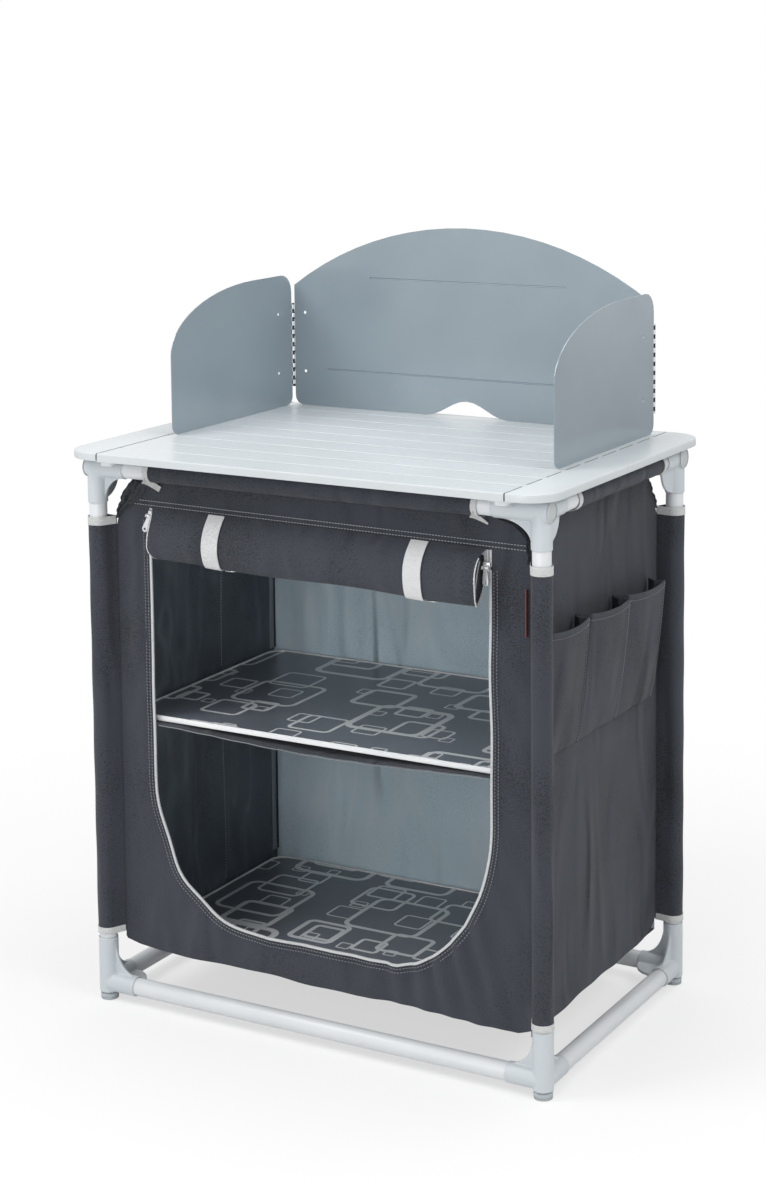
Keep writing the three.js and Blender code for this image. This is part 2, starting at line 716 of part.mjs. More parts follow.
// The sling hangs free of the board along the middle of its front hem
function slingFall(acrossShare, backShare) {
  const frontShare = Math.max(0, -backShare * 2);
  return -slingSag * Math.cos(Math.PI * acrossShare) ** 2 * frontShare ** 2;
}

const slingTop = middleShelfHeight - boardThickness - clearance;
const sling = draped(2 * floorX, 2 * floorY, fabricThickness, 12, 8, slingFall);
sling.translate(0, 0, slingTop - fabricThickness / 2);

place('shelf_sling', sling, fabricFinish);
place('shelf_board_middle', board(), boardFinish, [0, 0, middleShelfHeight - boardThickness]);
place('shelf_board_bottom', board(), boardFinish, [0, 0, floorTop + clearance]);

// Rolled-up door in front of the opening's upper edge, and the two straps around it
const rollHalfHeight = (rollTop - rollBottom) / 2;
const rollMiddle = (rollTop + rollBottom) / 2;
const rollBackY = -cupboardHalfDepth - clearance;

function rollCurve(growth, steps) {
  const radii = [rollDepth + growth, rollHalfHeight + growth];
  return arc([rollBackY, rollMiddle], radii, 1, 3, steps);
}

function doorRoll() {
  const bevel = {
    bevelEnabled: true,
    bevelThickness: rollEndRound,
    bevelSize: rollEndRound,
    bevelOffset: -rollEndRound,
    bevelSegments: 2,
  };
  const shape = outline(rollCurve(0, 16));
  return plate(shape, 'y', 'z', rollLeftEnd + rollEndRound, rollRightEnd - rollEndRound, bevel);
}

function strap() {
  const inner = rollCurve(clearance, 14);
  const outer = rollCurve(clearance + strapThickness, 14);
  const seamTop = outer[0][1] + strapSeam;
  const seamFront = rollBackY - strapThickness;
  const seam = [[rollBackY, seamTop], [seamFront, seamTop], [seamFront, outer[0][1]]];
  const shape = outline([...outer.slice(1), ...inner.reverse(), ...seam]);
  return plate(shape, 'y', 'z', -strapWidth / 2, strapWidth / 2);
}

place('door_roll', doorRoll(), fabricFinish);
const strapX = openingHalfWidth - strapFromOpening;
place('strap_left', strap(), webbingFinish, [-strapX, 0, 0]);
place('strap_right', strap(), webbingFinish, [strapX, 0, 0]);

// Zip sliders at the top of the opening's two sides, each with a pull on a small cross pin
const sliderBack = -cupboardHalfDepth - clearance;
const sliderFront = sliderBack - sliderDepth;
const pullAxisY = sliderFront - sliderLugReach / 2;

function slider() {
  const half = sliderWidth / 2;
  const halfLength = sliderLength / 2;
  const lower = sliderWidth * sliderTaperShare / 2;
  const shield = outline([[-lower, -halfLength], [lower, -halfLength], [half, 0], [half, halfLength],
    [-half, halfLength], [-half, 0]]);
  const lugInner = half - sliderLugWidth;
  const lugFront = sliderFront - sliderLugReach;
  const lugHalf = pullEyeRadius;
  return shaped([
    plate(shield, 'x', 'z', -sliderBack, -sliderFront),
    box([-half, -lugInner], [lugFront, sliderFront + sliderDepth / 2], [-lugHalf, lugHalf]),
    box([lugInner, half], [lugFront, sliderFront + sliderDepth / 2], [-lugHalf, lugHalf]),
    turnTo.x(rod(pullPinRadius, -lugInner - sliderLugWidth / 2, lugInner + sliderLugWidth / 2, smallFacets))
      .translate(0, pullAxisY, 0),
  ]);
}

function pull() {
  const eyeHalf = sliderWidth / 2 - sliderLugWidth - clearance;
  const half = pullThickness / 2;
  const endRadius = pullBottomWidth / 2;
  const end = arc([0, -pullLength + endRadius], [endRadius, endRadius], 2, 4, 6);
  const shape = outline([[-pullTopWidth / 2, -pullPinRadius], ...end, [pullTopWidth / 2, -pullPinRadius]]);
  const reach = eyeHalf + overrun;
  return shaped(
    [turnTo.x(rod(pullEyeRadius, -eyeHalf, eyeHalf, smallFacets)), plate(shape, 'x', 'z', -half, half)],
    [
      turnTo.x(rod(pullPinRadius + clearance, -reach, reach, smallFacets)),
      turnTo.y(rod(pullHoleRadius, -overrun, overrun, smallFacets)).translate(0, 0, -pullLength + endRadius),
    ],
  );
}

for (const [side, sideX, below, lean] of [
  ['left', -1, leftSliderBelowOpening, leftPullLean],
  ['right', 1, rightSliderBelowOpening, 0],
]) {
  const x = sideX * (openingHalfWidth - sliderFromOpening);
  const height = openingTop - below;
  place(`zip_slider_${side}`, slider().rotateY(lean), zipFinish, [x, 0, height]);
  place(`zip_pull_${side}`, pull().rotateY(lean), zipFinish, [x, pullAxisY, height]);
}

// Three open pockets, wider at the top, sewn to one cloth on the right side wall
function pockets() {
  const backX = cupboardHalfWidth + clearance;
  const seamX = backX + pocketThickness;
  const joined = [box([backX, seamX], [pocketFront, pocketBack], [pocketBottom, pocketTop])];
  const removed = [];
  const pitch = (pocketBack - pocketFront + pocketGap) / pocketCount;
  for (let i = 0; i < pocketCount; i += 1) {
    const from = pocketFront + i * pitch;
    const to = from + pitch - pocketGap;
    const outer = outline([
      [backX, pocketBottom],
      [seamX + pocketBulgeBottom, pocketBottom],
      [seamX + pocketBulgeTop, pocketTop],
      [backX, pocketTop],
    ]);
    const inner = outline([
      [seamX, pocketBottom + pocketThickness],
      [seamX + pocketBulgeBottom - pocketThickness, pocketBottom + pocketThickness],
      [seamX + pocketBulgeTop - pocketThickness, pocketTop],
      [seamX + pocketBulgeTop - pocketThickness, pocketTop + overrun],
      [seamX, pocketTop + overrun],
    ]);
    joined.push(plate(outer, 'x', 'z', -to, -from));
    removed.push(plate(inner, 'x', 'z', -to + pocketThickness, -from - pocketThickness));
  }
  return shaped(joined, removed);
}

place('side_pockets', pockets(), fabricFinish);

export default cabinet;
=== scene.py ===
# A camp kitchen cabinet: a painted tube frame on screw feet, a slatted worktop with a folding
# windscreen, and a fabric cupboard with two printed shelf boards hung inside the frame.
# Metres, +X right, +Y back, +Z up.
import math

import bmesh
import bpy
from mathutils import Matrix, Vector


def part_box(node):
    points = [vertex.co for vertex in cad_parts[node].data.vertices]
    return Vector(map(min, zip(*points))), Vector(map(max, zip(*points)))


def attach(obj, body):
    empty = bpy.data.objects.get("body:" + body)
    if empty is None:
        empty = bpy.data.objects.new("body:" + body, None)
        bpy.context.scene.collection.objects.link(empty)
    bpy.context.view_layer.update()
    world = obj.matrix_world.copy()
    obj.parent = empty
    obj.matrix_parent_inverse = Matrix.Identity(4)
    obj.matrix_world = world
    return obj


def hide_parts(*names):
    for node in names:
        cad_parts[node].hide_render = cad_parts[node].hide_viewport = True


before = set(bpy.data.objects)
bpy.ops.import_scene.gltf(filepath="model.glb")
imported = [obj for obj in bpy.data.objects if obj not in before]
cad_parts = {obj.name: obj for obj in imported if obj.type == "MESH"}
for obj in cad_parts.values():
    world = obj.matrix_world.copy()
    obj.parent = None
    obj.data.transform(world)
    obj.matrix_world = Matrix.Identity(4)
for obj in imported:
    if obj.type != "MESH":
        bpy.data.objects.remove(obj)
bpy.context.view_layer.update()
bpy.ops.object.select_all(action="DESELECT")

# Camera
# A long lens a little above the worktop's height, turned to the cabinet's right front corner.
camera_data = bpy.data.cameras.new("camera")
camera_data.lens = 71.494
camera_data.shift_x = -0.035
camera_data.shift_y = -0.25
camera = bpy.data.objects.new("camera", camera_data)
bpy.context.scene.collection.objects.link(camera)
camera.matrix_world = (
    Matrix.Translation((1.652697, -2.86196, 1.376485))
    @ Matrix.Rotation(math.radians(29.06), 4, "Z")
    @ Matrix.Rotation(math.radians(90 - 6.484), 4, "X")
    @ Matrix.Rotation(math.radians(-0.473), 4, "Z")
)
bpy.context.scene.camera = camera

# Studio
# A white photographer's room: soft boxes at the upper left, the right, above and low in front, and
# a pale floor that fades into the white behind and keeps the cabinet's soft shadow.
bpy.context.scene.view_settings.view_transform = "Standard"


def node(finish, kind, inputs=None, **settings):
    """Adds a node to a material. An input is a value, another node's output, or a node, which
    stands for its first output."""
    made = finish.node_tree.nodes.new("ShaderNode" + kind)
    for key, value in settings.items():
        setattr(made, key, value)
    for key, value in (inputs or {}).items():
        if isinstance(value, bpy.types.Node):
            value = value.outputs[0]
        if isinstance(value, bpy.types.NodeSocket):
            finish.node_tree.links.new(value, made.inputs[key])
        else:
            made.inputs[key].default_value = value
    return made


def maths(finish, operation, *values):
    return node(finish, "Math", dict(enumerate(values)), operation=operation)


def vectors(finish, operation, *values):
    return node(finish, "VectorMath", dict(enumerate(values)), operation=operation)


def linked(finish, output, kind, name):
    """Links a node, or an output, to an input of the material's own node of that name."""
    if isinstance(output, bpy.types.Node):
        output = output.outputs[0]
    finish.node_tree.links.new(output, finish.node_tree.nodes[kind].inputs[name])


def placed(name, data):
    """A new object of the scene that shows this data."""
    made = bpy.data.objects.new(name, data)
    bpy.context.scene.collection.objects.link(made)
    return made


room = bpy.data.worlds.new("room")
bpy.context.scene.world = room
room.use_nodes = True
room_rays = node(room, "LightPath")
seen_white = maths(
    room, "MAXIMUM", room_rays.outputs["Is Camera Ray"], room_rays.outputs["Is Transmission Ray"]
)
seen_pale = maths(room, "MULTIPLY", room_rays.outputs["Is Glossy Ray"], 0.75)
room_light = maths(room, "MAXIMUM", seen_white, seen_pale)
room_level = node(room, "MapRange", {"Value": room_light, "To Min": 0.44, "To Max": 1.0})
room.node_tree.nodes["Background"].inputs["Color"].default_value = (1, 1, 1, 1)
linked(room, room_level, "Background", "Strength")

for lamp_name, place, aim, side, power in [
    ("soft_box_key", (-1.5, -1.7, 2.9), (0, 0, 0.5), 1.5, 46),
    ("soft_box_right", (2.3, -0.5, 2.2), (0.3, 0, 0.5), 1.4, 28),
    ("soft_box_top", (0.1, 0.5, 2.9), (0, 0, 0.6), 1.8, 25),
    ("soft_box_front", (0.1, -2.5, 1.0), (0.0, 0, 0.40), 1.2, 15),
]:
    lamp_data = bpy.data.lights.new(lamp_name, "AREA")
    lamp_data.size = side
    lamp_data.energy = power
    lamp = placed(lamp_name, lamp_data)
    lamp.location = place
    lamp.rotation_euler = (Vector(aim) - Vector(place)).to_track_quat("-Z", "Y").to_euler()

bpy.ops.mesh.primitive_plane_add(size=14, location=(0, 0, 0))
floor = bpy.context.object
floor.name = "studio_floor"
floor_finish = bpy.data.materials.new("studio_floor")
floor_finish.use_nodes = True
floor_lit = floor_finish.node_tree.nodes["Principled BSDF"]
floor_lit.inputs["Base Color"].default_value = (0.9, 0.9, 0.9, 1)
floor_lit.inputs["Roughness"].default_value = 0.9
floor_lit.inputs["Specular IOR Level"].default_value = 0
floor_white = node(floor_finish, "Emission", {"Color": (1, 1, 1, 1), "Strength": 1})
floor_place = node(floor_finish, "TexCoord").outputs["Object"]
floor_reach = vectors(floor_finish, "LENGTH", floor_place)
floor_fade = node(
    floor_finish,
    "MapRange",
    {"Value": floor_reach.outputs["Value"], "From Min": 0.3, "From Max": 1.5, "To Min": 0.6, "To Max": 1.0},
    interpolation_type="SMOOTHSTEP",
)
floor_rays = node(floor_finish, "LightPath")
floor_seen = maths(floor_finish, "MULTIPLY", floor_fade, floor_rays.outputs["Is Camera Ray"])
floor_mix = node(floor_finish, "MixShader", {0: floor_seen, 1: floor_lit, 2: floor_white})
linked(floor_finish, floor_mix, "Material Output", "Surface")
floor.data.materials.append(floor_finish)

# Tubes
# Twelve lengths of 25 mm tube with a 1.2 mm wall, powder-coated light grey, with deburred ends
# pushed into the corner fittings.


def only(*pieces):
    """Selects these objects alone, the first of them active, outside edit mode."""
    if bpy.context.mode != "OBJECT":
        bpy.ops.object.mode_set(mode="OBJECT")
    bpy.ops.object.select_all(action="DESELECT")
    for piece in pieces:
        piece.select_set(True)
    bpy.context.view_layer.objects.active = pieces[0]


def finished(piece, name, angle=35):
    """Applies a piece's modifiers and its place, smooths it and gives it its name."""
    only(piece)
    for modifier in list(piece.modifiers):
        bpy.ops.object.modifier_apply(modifier=modifier.name)
    bpy.ops.object.transform_apply(location=True, rotation=True, scale=True)
    bpy.ops.object.shade_smooth_by_angle(angle=math.radians(angle))
    piece.name = name
    piece.data.name = name
    return piece


def settled(piece):
    """Works a piece's place, turn and size into its mesh."""
    only(piece)
    bpy.ops.object.transform_apply(location=True, rotation=True, scale=True)


def block(place, size):
    bpy.ops.mesh.primitive_cube_add(size=1, location=place)
    made = bpy.context.object
    made.scale = size
    return made


def modifier(piece, kind, **settings):
    made = piece.modifiers.new(kind.lower(), kind)
    for key, value in settings.items():
        setattr(made, key, value)
    return made


def dressed(piece, name, finish, body="frame_and_cupboard", angle=35, stands_for=None):
    """Finishes a piece in one material, and states its body and the solid it replaces."""
    finished(piece, name, angle)
    piece.data.materials.append(finish)
    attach(piece, body)
    if stands_for:
        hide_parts(stands_for)


def colour(code):
    """The linear colour of a six-digit screen colour."""
    shares = [int(code[i : i + 2], 16) / 255 for i in (0, 2, 4)]
    return (*[s / 12.92 if s < 0.04045 else ((s + 0.055) / 1.055) ** 2.4 for s in shares], 1)


def coated(name, low, high, roughness, grain, depth, metallic=0.0, stretch=(1, 1, 1)):
    """A coated or moulded surface: two near shades in soft clouds, with a fine grain in its gloss
    and height. Grain is the number of its marks in a metre, depth their height in metres."""
    finish = bpy.data.materials.new(name)
    finish.use_nodes = True
    shader = finish.node_tree.nodes["Principled BSDF"]
    place = node(finish, "TexCoord").outputs["Object"]
    along = node(finish, "Mapping", {"Vector": place, "Scale": stretch})
    clouds = node(finish, "TexNoise", {"Vector": place, "Scale": 9, "Detail": 4})
    shades = node(finish, "ValToRGB", {"Fac": clouds})
    shades.color_ramp.elements[0].position = 0.3
    shades.color_ramp.elements[0].color = colour(low)
    shades.color_ramp.elements[1].position = 0.7
    shades.color_ramp.elements[1].color = colour(high)
    marks = node(finish, "TexNoise", {"Vector": along, "Scale": grain, "Detail": 3})
    gloss = node(
        finish,
        "MapRange",
        {
            "Value": marks,
            "From Min": 0.3,
            "From Max": 0.7,
            "To Min": roughness - 0.03,
            "To Max": roughness + 0.04,
        },
    )
    relief = node(finish, "Bump", {"Height": marks, "Distance": depth, "Strength": 0.6})
    linked(finish, shades, "Principled BSDF", "Base Color")
    linked(finish, gloss, "Principled BSDF", "Roughness")
    linked(finish, relief, "Principled BSDF", "Normal")
    shader.inputs["Metallic"].default_value = metallic
    return finish


tube_paint = coated("tube_paint", "D3D7DA", "DADDE0", 0.34, 900, 0.000012)
post_low, post_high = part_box("post_front_right")
POST_X = round((post_low.x + post_high.x) / 2, 4)
POST_Y = -round((post_low.y + post_high.y) / 2, 4)
LOWER_HEIGHT = 0.025
TUBE_HEIGHT = 0.7724
turn_to = {
    "x": Matrix.Rotation(math.radians(90), 4, "Y"),
    "y": Matrix.Rotation(math.radians(-90), 4, "X"),
    "z": Matrix.Identity(4),
}
for cad_name in sorted(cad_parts):
    if not cad_name.startswith(("post_", "tube_")):
        continue
    low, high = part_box(cad_name)
    length = max(high - low)
    axis = "xyz"[list(high - low).index(length)]
    bpy.ops.mesh.primitive_cylinder_add(vertices=56, radius=0.0125, depth=length, end_fill_type="NOTHING")
    tube = bpy.context.object
    tube.matrix_world = Matrix.Translation((low + high) / 2) @ turn_to[axis]
    modifier(tube, "SOLIDIFY", thickness=0.0012, offset=-1, use_even_offset=True)
    modifier(tube, "BEVEL", width=0.0003, segments=2, limit_method="ANGLE", angle_limit=math.radians(60))
    dressed(tube, "painted_" + cad_name, tube_paint, stands_for=cad_name)

# Corner fittings
# Injection-moulded light grey nylon, in three moulds: three sockets that meet at a corner, hollow
# webs beside the longest one, a rounded fin between the other two, and soft fillets throughout.
FITTING_RADIUS = 0.014
SHORT_ARM = 0.050
fitting_plastic = coated("fitting_plastic", "BEC5CA", "C6CCD0", 0.42, 1500, 0.00002)


def edit_faces(piece, test):
    """Enters edit mode with only those faces selected whose middle and normal pass the test."""
    only(piece)
    bpy.ops.object.mode_set(mode="EDIT")
    bpy.ops.mesh.select_mode(type="FACE")
    bpy.ops.mesh.select_all(action="DESELECT")
    shape = bmesh.from_edit_mesh(piece.data)
    for face in shape.faces:
        face.select_set(test(face.calc_center_median(), face.normal))
    bmesh.update_edit_mesh(piece.data)


def edit_edges(piece, test):
    """Enters edit mode with only those edges selected whose middle and direction pass the test."""
    only(piece)
    bpy.ops.object.mode_set(mode="EDIT")
    bpy.ops.mesh.select_mode(type="EDGE")
    bpy.ops.mesh.select_all(action="DESELECT")
    shape = bmesh.from_edit_mesh(piece.data)
    for edge in shape.edges:
        first, second = [corner.co for corner in edge.verts]
        edge.select_set(test((first + second) / 2, (second - first).normalized()))
    bmesh.update_edit_mesh(piece.data)


def leave_edit():
    bpy.ops.object.mode_set(mode="OBJECT")


def cut(piece, cutter, operation="DIFFERENCE"):
    """Cuts one object with another, which is used up."""
    only(piece)
    made = modifier(piece, "BOOLEAN", object=cutter, operation=operation, solver="EXACT")
    bpy.ops.object.modifier_apply(modifier=made.name)
    bpy.data.objects.remove(cutter)


def round_bar(radius, low, high, facets=56):
    bpy.ops.mesh.primitive_cylinder_add(
        vertices=facets, radius=radius, depth=high - low, location=(0, 0, (low + high) / 2)
    )
    return bpy.context.object


def socket_cutter(axis, length):
    """A bore from 18 mm deep in the arm, widened a little at its mouth."""
    cutter = round_bar(0.0128, 0.018, length - 0.0008)
    settled(cutter)
    edit_faces(cutter, lambda middle, normal: normal.z > 0.9)
    bpy.ops.mesh.extrude_region_move(TRANSFORM_OT_translate={"value": (0, 0, 0.002)})
    bpy.ops.transform.resize(value=(1.09, 1.09, 1), center_override=(0, 0, length))
    leave_edit()
    cutter.matrix_world = turn_to[axis]
    return cutter


def moulded_fitting(through, through_length):
    parts = []
    for axis in "xyz":
        arm = round_bar(
            FITTING_RADIUS,
            -0.0135 if axis == through else 0,
            through_length if axis == through else SHORT_ARM,
        )
        arm.matrix_world = turn_to[axis] @ arm.matrix_world
        parts.append(arm)
    for across, up in ("xy", "xz", "yz"):
        basis = [Vector((axis == "x", axis == "y", axis == "z")) for axis in (across, up)]
        basis.append(basis[0].cross(basis[1]))
        turn = Matrix(basis).transposed().to_4x4()
        if through in (across, up):
            reach = [
                through_length - 0.007 if axis == through else SHORT_ARM - 0.004 for axis in (across, up)
            ]
            web = block((reach[0] / 2, reach[1] / 2, 0), (reach[0], reach[1], 0.004))
            hollow = round_bar(1, -0.01, 0.01, 72)
            hollow.location = (reach[0], reach[1], 0)
            hollow.scale = (reach[0] - FITTING_RADIUS, reach[1] - FITTING_RADIUS, 1)
            bpy.context.view_layer.update()
            cut(web, hollow)
        else:
            web = round_bar(0.036, -0.002, 0.002, 72)
            web.location = (0.012, 0.012, 0)
            settled(web)
            bpy.ops.object.mode_set(mode="EDIT")
            for normal in ((1, 0, 0), (0, 1, 0)):
                bpy.ops.mesh.select_all(action="SELECT")
                bpy.ops.mesh.bisect(plane_co=(0, 0, 0), plane_no=normal, use_fill=True, clear_inner=True)
            leave_edit()
        bpy.context.view_layer.update()
        web.matrix_world = turn @ web.matrix_world
        parts.append(web)
    only(*parts)
    bpy.ops.object.join()
    body = bpy.context.object
    bpy.ops.object.transform_apply(location=True, rotation=True, scale=True)
    modifier(body, "REMESH", mode="VOXEL", voxel_size=0.0009)
    modifier(body, "SMOOTH", factor=0.5, iterations=4)
    modifier(body, "DECIMATE", ratio=0.22)
    for made in list(body.modifiers):
        bpy.ops.object.modifier_apply(modifier=made.name)
    for axis in "xyz":
        cut(body, socket_cutter(axis, through_length if axis == through else SHORT_ARM))
    return body


moulds = {
    "lower": moulded_fitting("z", 0.067),
    "upper_right": moulded_fitting("x", 0.067),
    "upper_left": moulded_fitting("x", SHORT_ARM),
}
foot_bore = round_bar(0.0053, -0.03, 0.012, 32)
cut(moulds["lower"], foot_bore)
corners = {"front_left": (-1, -1), "front_right": (1, -1), "back_left": (-1, 1), "back_right": (1, 1)}
for corner, (side_x, side_y) in corners.items():
    for level, height in (("lower", LOWER_HEIGHT), ("upper", TUBE_HEIGHT)):
        mould = moulds["lower" if level == "lower" else "upper_right" if side_x > 0 else "upper_left"]
        made = placed("moulded", mould.data.copy())
        flip = Matrix.Diagonal((-side_x, -side_y, 1 if level == "lower" else -1, 1))
        made.data.transform(Matrix.Translation((side_x * POST_X, side_y * POST_Y, height)) @ flip)
        if flip.determinant() < 0:
            made.data.flip_normals()
        dressed(
            made,
            f"moulded_fitting_{level}_{corner}",
            fitting_plastic,
            angle=50,
            stands_for=f"fitting_{level}_{corner}",
        )
for mould in moulds.values():
    bpy.data.objects.remove(mould)
plug_plastic = coated("plug_plastic", "B4B9B9", "BDC1C1", 0.5, 1200, 0.00002)
for corner, (side_x, side_y) in corners.items():
    plug = round_bar(0.0131, 0.0127, 0.0155)
    settled(plug)
    edit_edges(plug, lambda middle, along: abs(along.z) < 0.1 and middle.z > 0.0150)
    bpy.ops.mesh.bevel(offset=0.0005, segments=2)
    edit_faces(plug, lambda middle, normal: normal.z > 0.9)
    bpy.ops.mesh.inset(thickness=0.0011)
    bpy.ops.mesh.inset(thickness=0.0002, depth=-0.0004)
    leave_edit()
    outwards = Matrix.Rotation(math.radians(90 * side_x), 4, "Y")
    plug.matrix_world = Matrix.Translation((side_x * POST_X, side_y * POST_Y, TUBE_HEIGHT)) @ outwards
    dressed(plug, f"socket_plug_{corner}", plug_plastic, angle=30)

# Screw feet
# Grey hard-rubber pads with a neck, fluted for the fingers, each on a moulded M10 stem that screws
# into the lower fitting.


def edit_all(piece):
    """Enters edit mode with everything selected."""
    only(piece)
    bpy.ops.object.mode_set(mode="EDIT")
    bpy.ops.mesh.select_all(action="SELECT")


def close_open_ends():
    """Fills the open edges of the piece in edit mode, turns its normals out and leaves edit mode."""
    bpy.ops.mesh.select_all(action="DESELECT")
    bpy.ops.mesh.select_mode(type="EDGE")
    bpy.ops.mesh.select_non_manifold()
    bpy.ops.mesh.edge_face_add()
    bpy.ops.mesh.select_all(action="SELECT")
    bpy.ops.mesh.normals_make_consistent(inside=False)
    leave_edit()


foot_rubber = coated("foot_rubber", "A6ADB1", "B4BABD", 0.55, 1200, 0.0001)
bpy.ops.mesh.primitive_cylinder_add(vertices=144, radius=0.0125, depth=0.0058, location=(0, 0, 0.0029))
pad_mould = bpy.context.object
settled(pad_mould)
edit_edges(pad_mould, lambda middle, along: abs(along.z) < 0.1)
bpy.ops.mesh.bevel(offset=0.0007, segments=2)
edit_faces(pad_mould, lambda middle, normal: normal.z > 0.9)
bpy.ops.mesh.inset(thickness=0.0030)
bpy.ops.mesh.extrude_region_move(TRANSFORM_OT_translate={"value": (0, 0, 0.0036)})
bpy.ops.mesh.inset(thickness=0.0035)
bpy.ops.mesh.extrude_region_move(TRANSFORM_OT_translate={"value": (0, 0, -0.0055)})
edit_faces(pad_mould, lambda middle, normal: abs(normal.z) < 0.1 and math.hypot(middle.x, middle.y) > 0.012)
bpy.ops.mesh.subdivide(number_cuts=3)
leave_edit()
for point in pad_mould.data.vertices:
    turn = math.atan2(point.co.y, point.co.x) / (2 * math.pi) * 24
    if turn % 1 > 0.45 and point.co.z < 0.0047 and math.hypot(point.co.x, point.co.y) > 0.0105:
        point.co.x *= 0.93
        point.co.y *= 0.93
bpy.ops.mesh.primitive_circle_add(vertices=4, radius=0.1)
stem_mould = bpy.context.object
stem_mould.data.clear_geometry()
stem_mould.data.from_pydata(
    [(0.0043, 0, 0), (0.005, 0, 0.0007), (0.005, 0, 0.0012), (0.0043, 0, 0.0019)],
    [(0, 1), (1, 2), (2, 3)],
    [],
)
modifier(
    stem_mould,
    "SCREW",
    angle=2 * math.pi,
    screw_offset=0.0019,
    iterations=13,
    steps=24,
    render_steps=24,
    use_merge_vertices=True,
    merge_threshold=0.00001,
)
only(stem_mould)
bpy.ops.object.modifier_apply(modifier=stem_mould.modifiers[0].name)
edit_all(stem_mould)
bpy.ops.mesh.remove_doubles(threshold=0.00002)
close_open_ends()
for corner, (side_x, side_y) in corners.items():
    for cad_name, mould, low in (("foot_pad_", pad_mould, 0), ("foot_stem_", stem_mould, 0.0043)):
        made = placed("foot", mould.data.copy())
        made.location = (side_x * POST_X, side_y * POST_Y, low)
        dressed(
            made,
            f"screw_{cad_name}{corner}",
            foot_rubber,
            body=("pad_" if mould == pad_mould else "stem_") + corner,
            angle=30,
            stands_for=cad_name + corner,
        )
bpy.data.objects.remove(pad_mould)
bpy.data.objects.remove(stem_mould)

# Worktop slats
# Nine hollow aluminium sections, 56 mm wide and 11 mm high, coated light grey, with chamfered long
# edges that leave a fine V between two of them; near-black strips of painted shade fill their joints with
# the end bars.
worktop_coat = coated("worktop_coat", "C5CACD", "CACFD2", 0.3, 500, 0.000002, 0.0, (0.5, 1, 1))
for number in range(1, 10):
    low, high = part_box(f"slat_{number}")
    slat = block((low + high) / 2, high - low)
    slat.scale.x -= 0.0018
    settled(slat)
    edit_edges(slat, lambda middle, along: abs(along.x) > 0.9 and middle.z > 0.795)
    bpy.ops.mesh.bevel(offset=0.0016, segments=2, profile=0.5)
    edit_faces(slat, lambda middle, normal: abs(normal.x) > 0.9)
    bpy.ops.mesh.delete(type="ONLY_FACE")
    leave_edit()
    modifier(slat, "SOLIDIFY", thickness=0.0011, offset=-1, use_even_offset=True)
    modifier(slat, "BEVEL", width=0.0002, segments=1, limit_method="ANGLE", angle_limit=math.radians(60))
    dressed(
        slat,
        f"worktop_slat_{number}",
        worktop_coat,
        body="worktop",
        angle=12,
        stands_for=f"slat_{number}",
    )

# Worktop end bars
# Moulded plastic ends, 59 mm wide, with 45 mm corners and rolled edges; small tongues on the right
# one bridge the joints of the slats.
for side, side_x in (("left", -1), ("right", 1)):
    low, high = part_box(f"end_bar_{side}")
    bar = block((low + high) / 2, high - low - Vector((0.0004, 0, 0)))
    settled(bar)
    edit_edges(bar, lambda middle, along: abs(along.z) > 0.9 and middle.x * side_x > 0.36)
    bpy.ops.mesh.bevel(offset=0.045, segments=14)
    edit_edges(
        bar,
        lambda middle, along: abs(along.z) < 0.1 and not (abs(along.y) > 0.9 and middle.x * side_x < 0.33),
    )
    bpy.ops.mesh.bevel(offset=0.0016, segments=3)
    leave_edit()
    parts = [bar]
    if side == "right":
        for joint in range(-3, 5):
            tongue = block((0.3151, joint * 0.057 - 0.0285, 0.7981), (0.0024, 0.012, 0.0042))
            modifier(tongue, "BEVEL", width=0.0002, segments=2)
            finished(tongue, "tongue")
            parts.append(tongue)
    only(*parts)
    bpy.ops.object.join()
    dressed(
        bar,
        f"moulded_end_bar_{side}",
        worktop_coat,
        body="worktop",
        angle=22,
        stands_for=f"end_bar_{side}",
    )

# Painted shade: near-black strips set into the joints between the slats and the end bars, where shadow
# falls.
seal_rubber = coated("seal_rubber", "1B1C1E", "27282A", 0.7, 900, 0.00003)
for side, at, top, width in (("left", -0.3155, 0.7999, 0.0009), ("right", 0.3151, 0.7999, 0.0018)):
    gap_shade_strip = block((at, 0, top - 0.0035), (width, 0.509, 0.0070))
    modifier(gap_shade_strip, "BEVEL", width=0.0002, segments=2)
    dressed(gap_shade_strip, f"joint_gap_shade_{side}", seal_rubber, body="worktop")

# Rails under the slats
# Two flat strips riveted under the slats, with rounded ends bent down in front of and behind the
# frame's upper tubes.
for side, side_x in (("left", -1), ("right", 1)):
    low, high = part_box(f"worktop_rail_{side}")
    centre_x = (low.x + high.x) / 2
    rail = block((centre_x, 0, high.z - 0.001), (high.x - low.x, high.y - low.y, 0.002))
    parts = [rail]
    for end in (-1, 1):
        inner = POST_Y + FITTING_RADIUS + 0.008
        lug = block(
            (centre_x, end * (inner + high.y) / 2, (low.z + high.z - 0.001) / 2),
            (0.02, high.y - inner, high.z - 0.001 - low.z),
        )
        parts.append(lug)
    for part in parts:
        settled(part)
        edit_edges(part, lambda middle, along: abs(along.z) > 0.9)
        bpy.ops.mesh.bevel(offset=0.006, segments=5)
        leave_edit()
    cut(rail, parts[2], "UNION")
    cut(rail, parts[1], "UNION")
    modifier(rail, "BEVEL", width=0.0005, segments=2, limit_method="ANGLE", angle_limit=math.radians(50))
    dressed(
        rail,
        f"flat_rail_{side}",
        tube_paint,
        body="worktop",
        angle=40,
        stands_for=f"worktop_rail_{side}",
    )

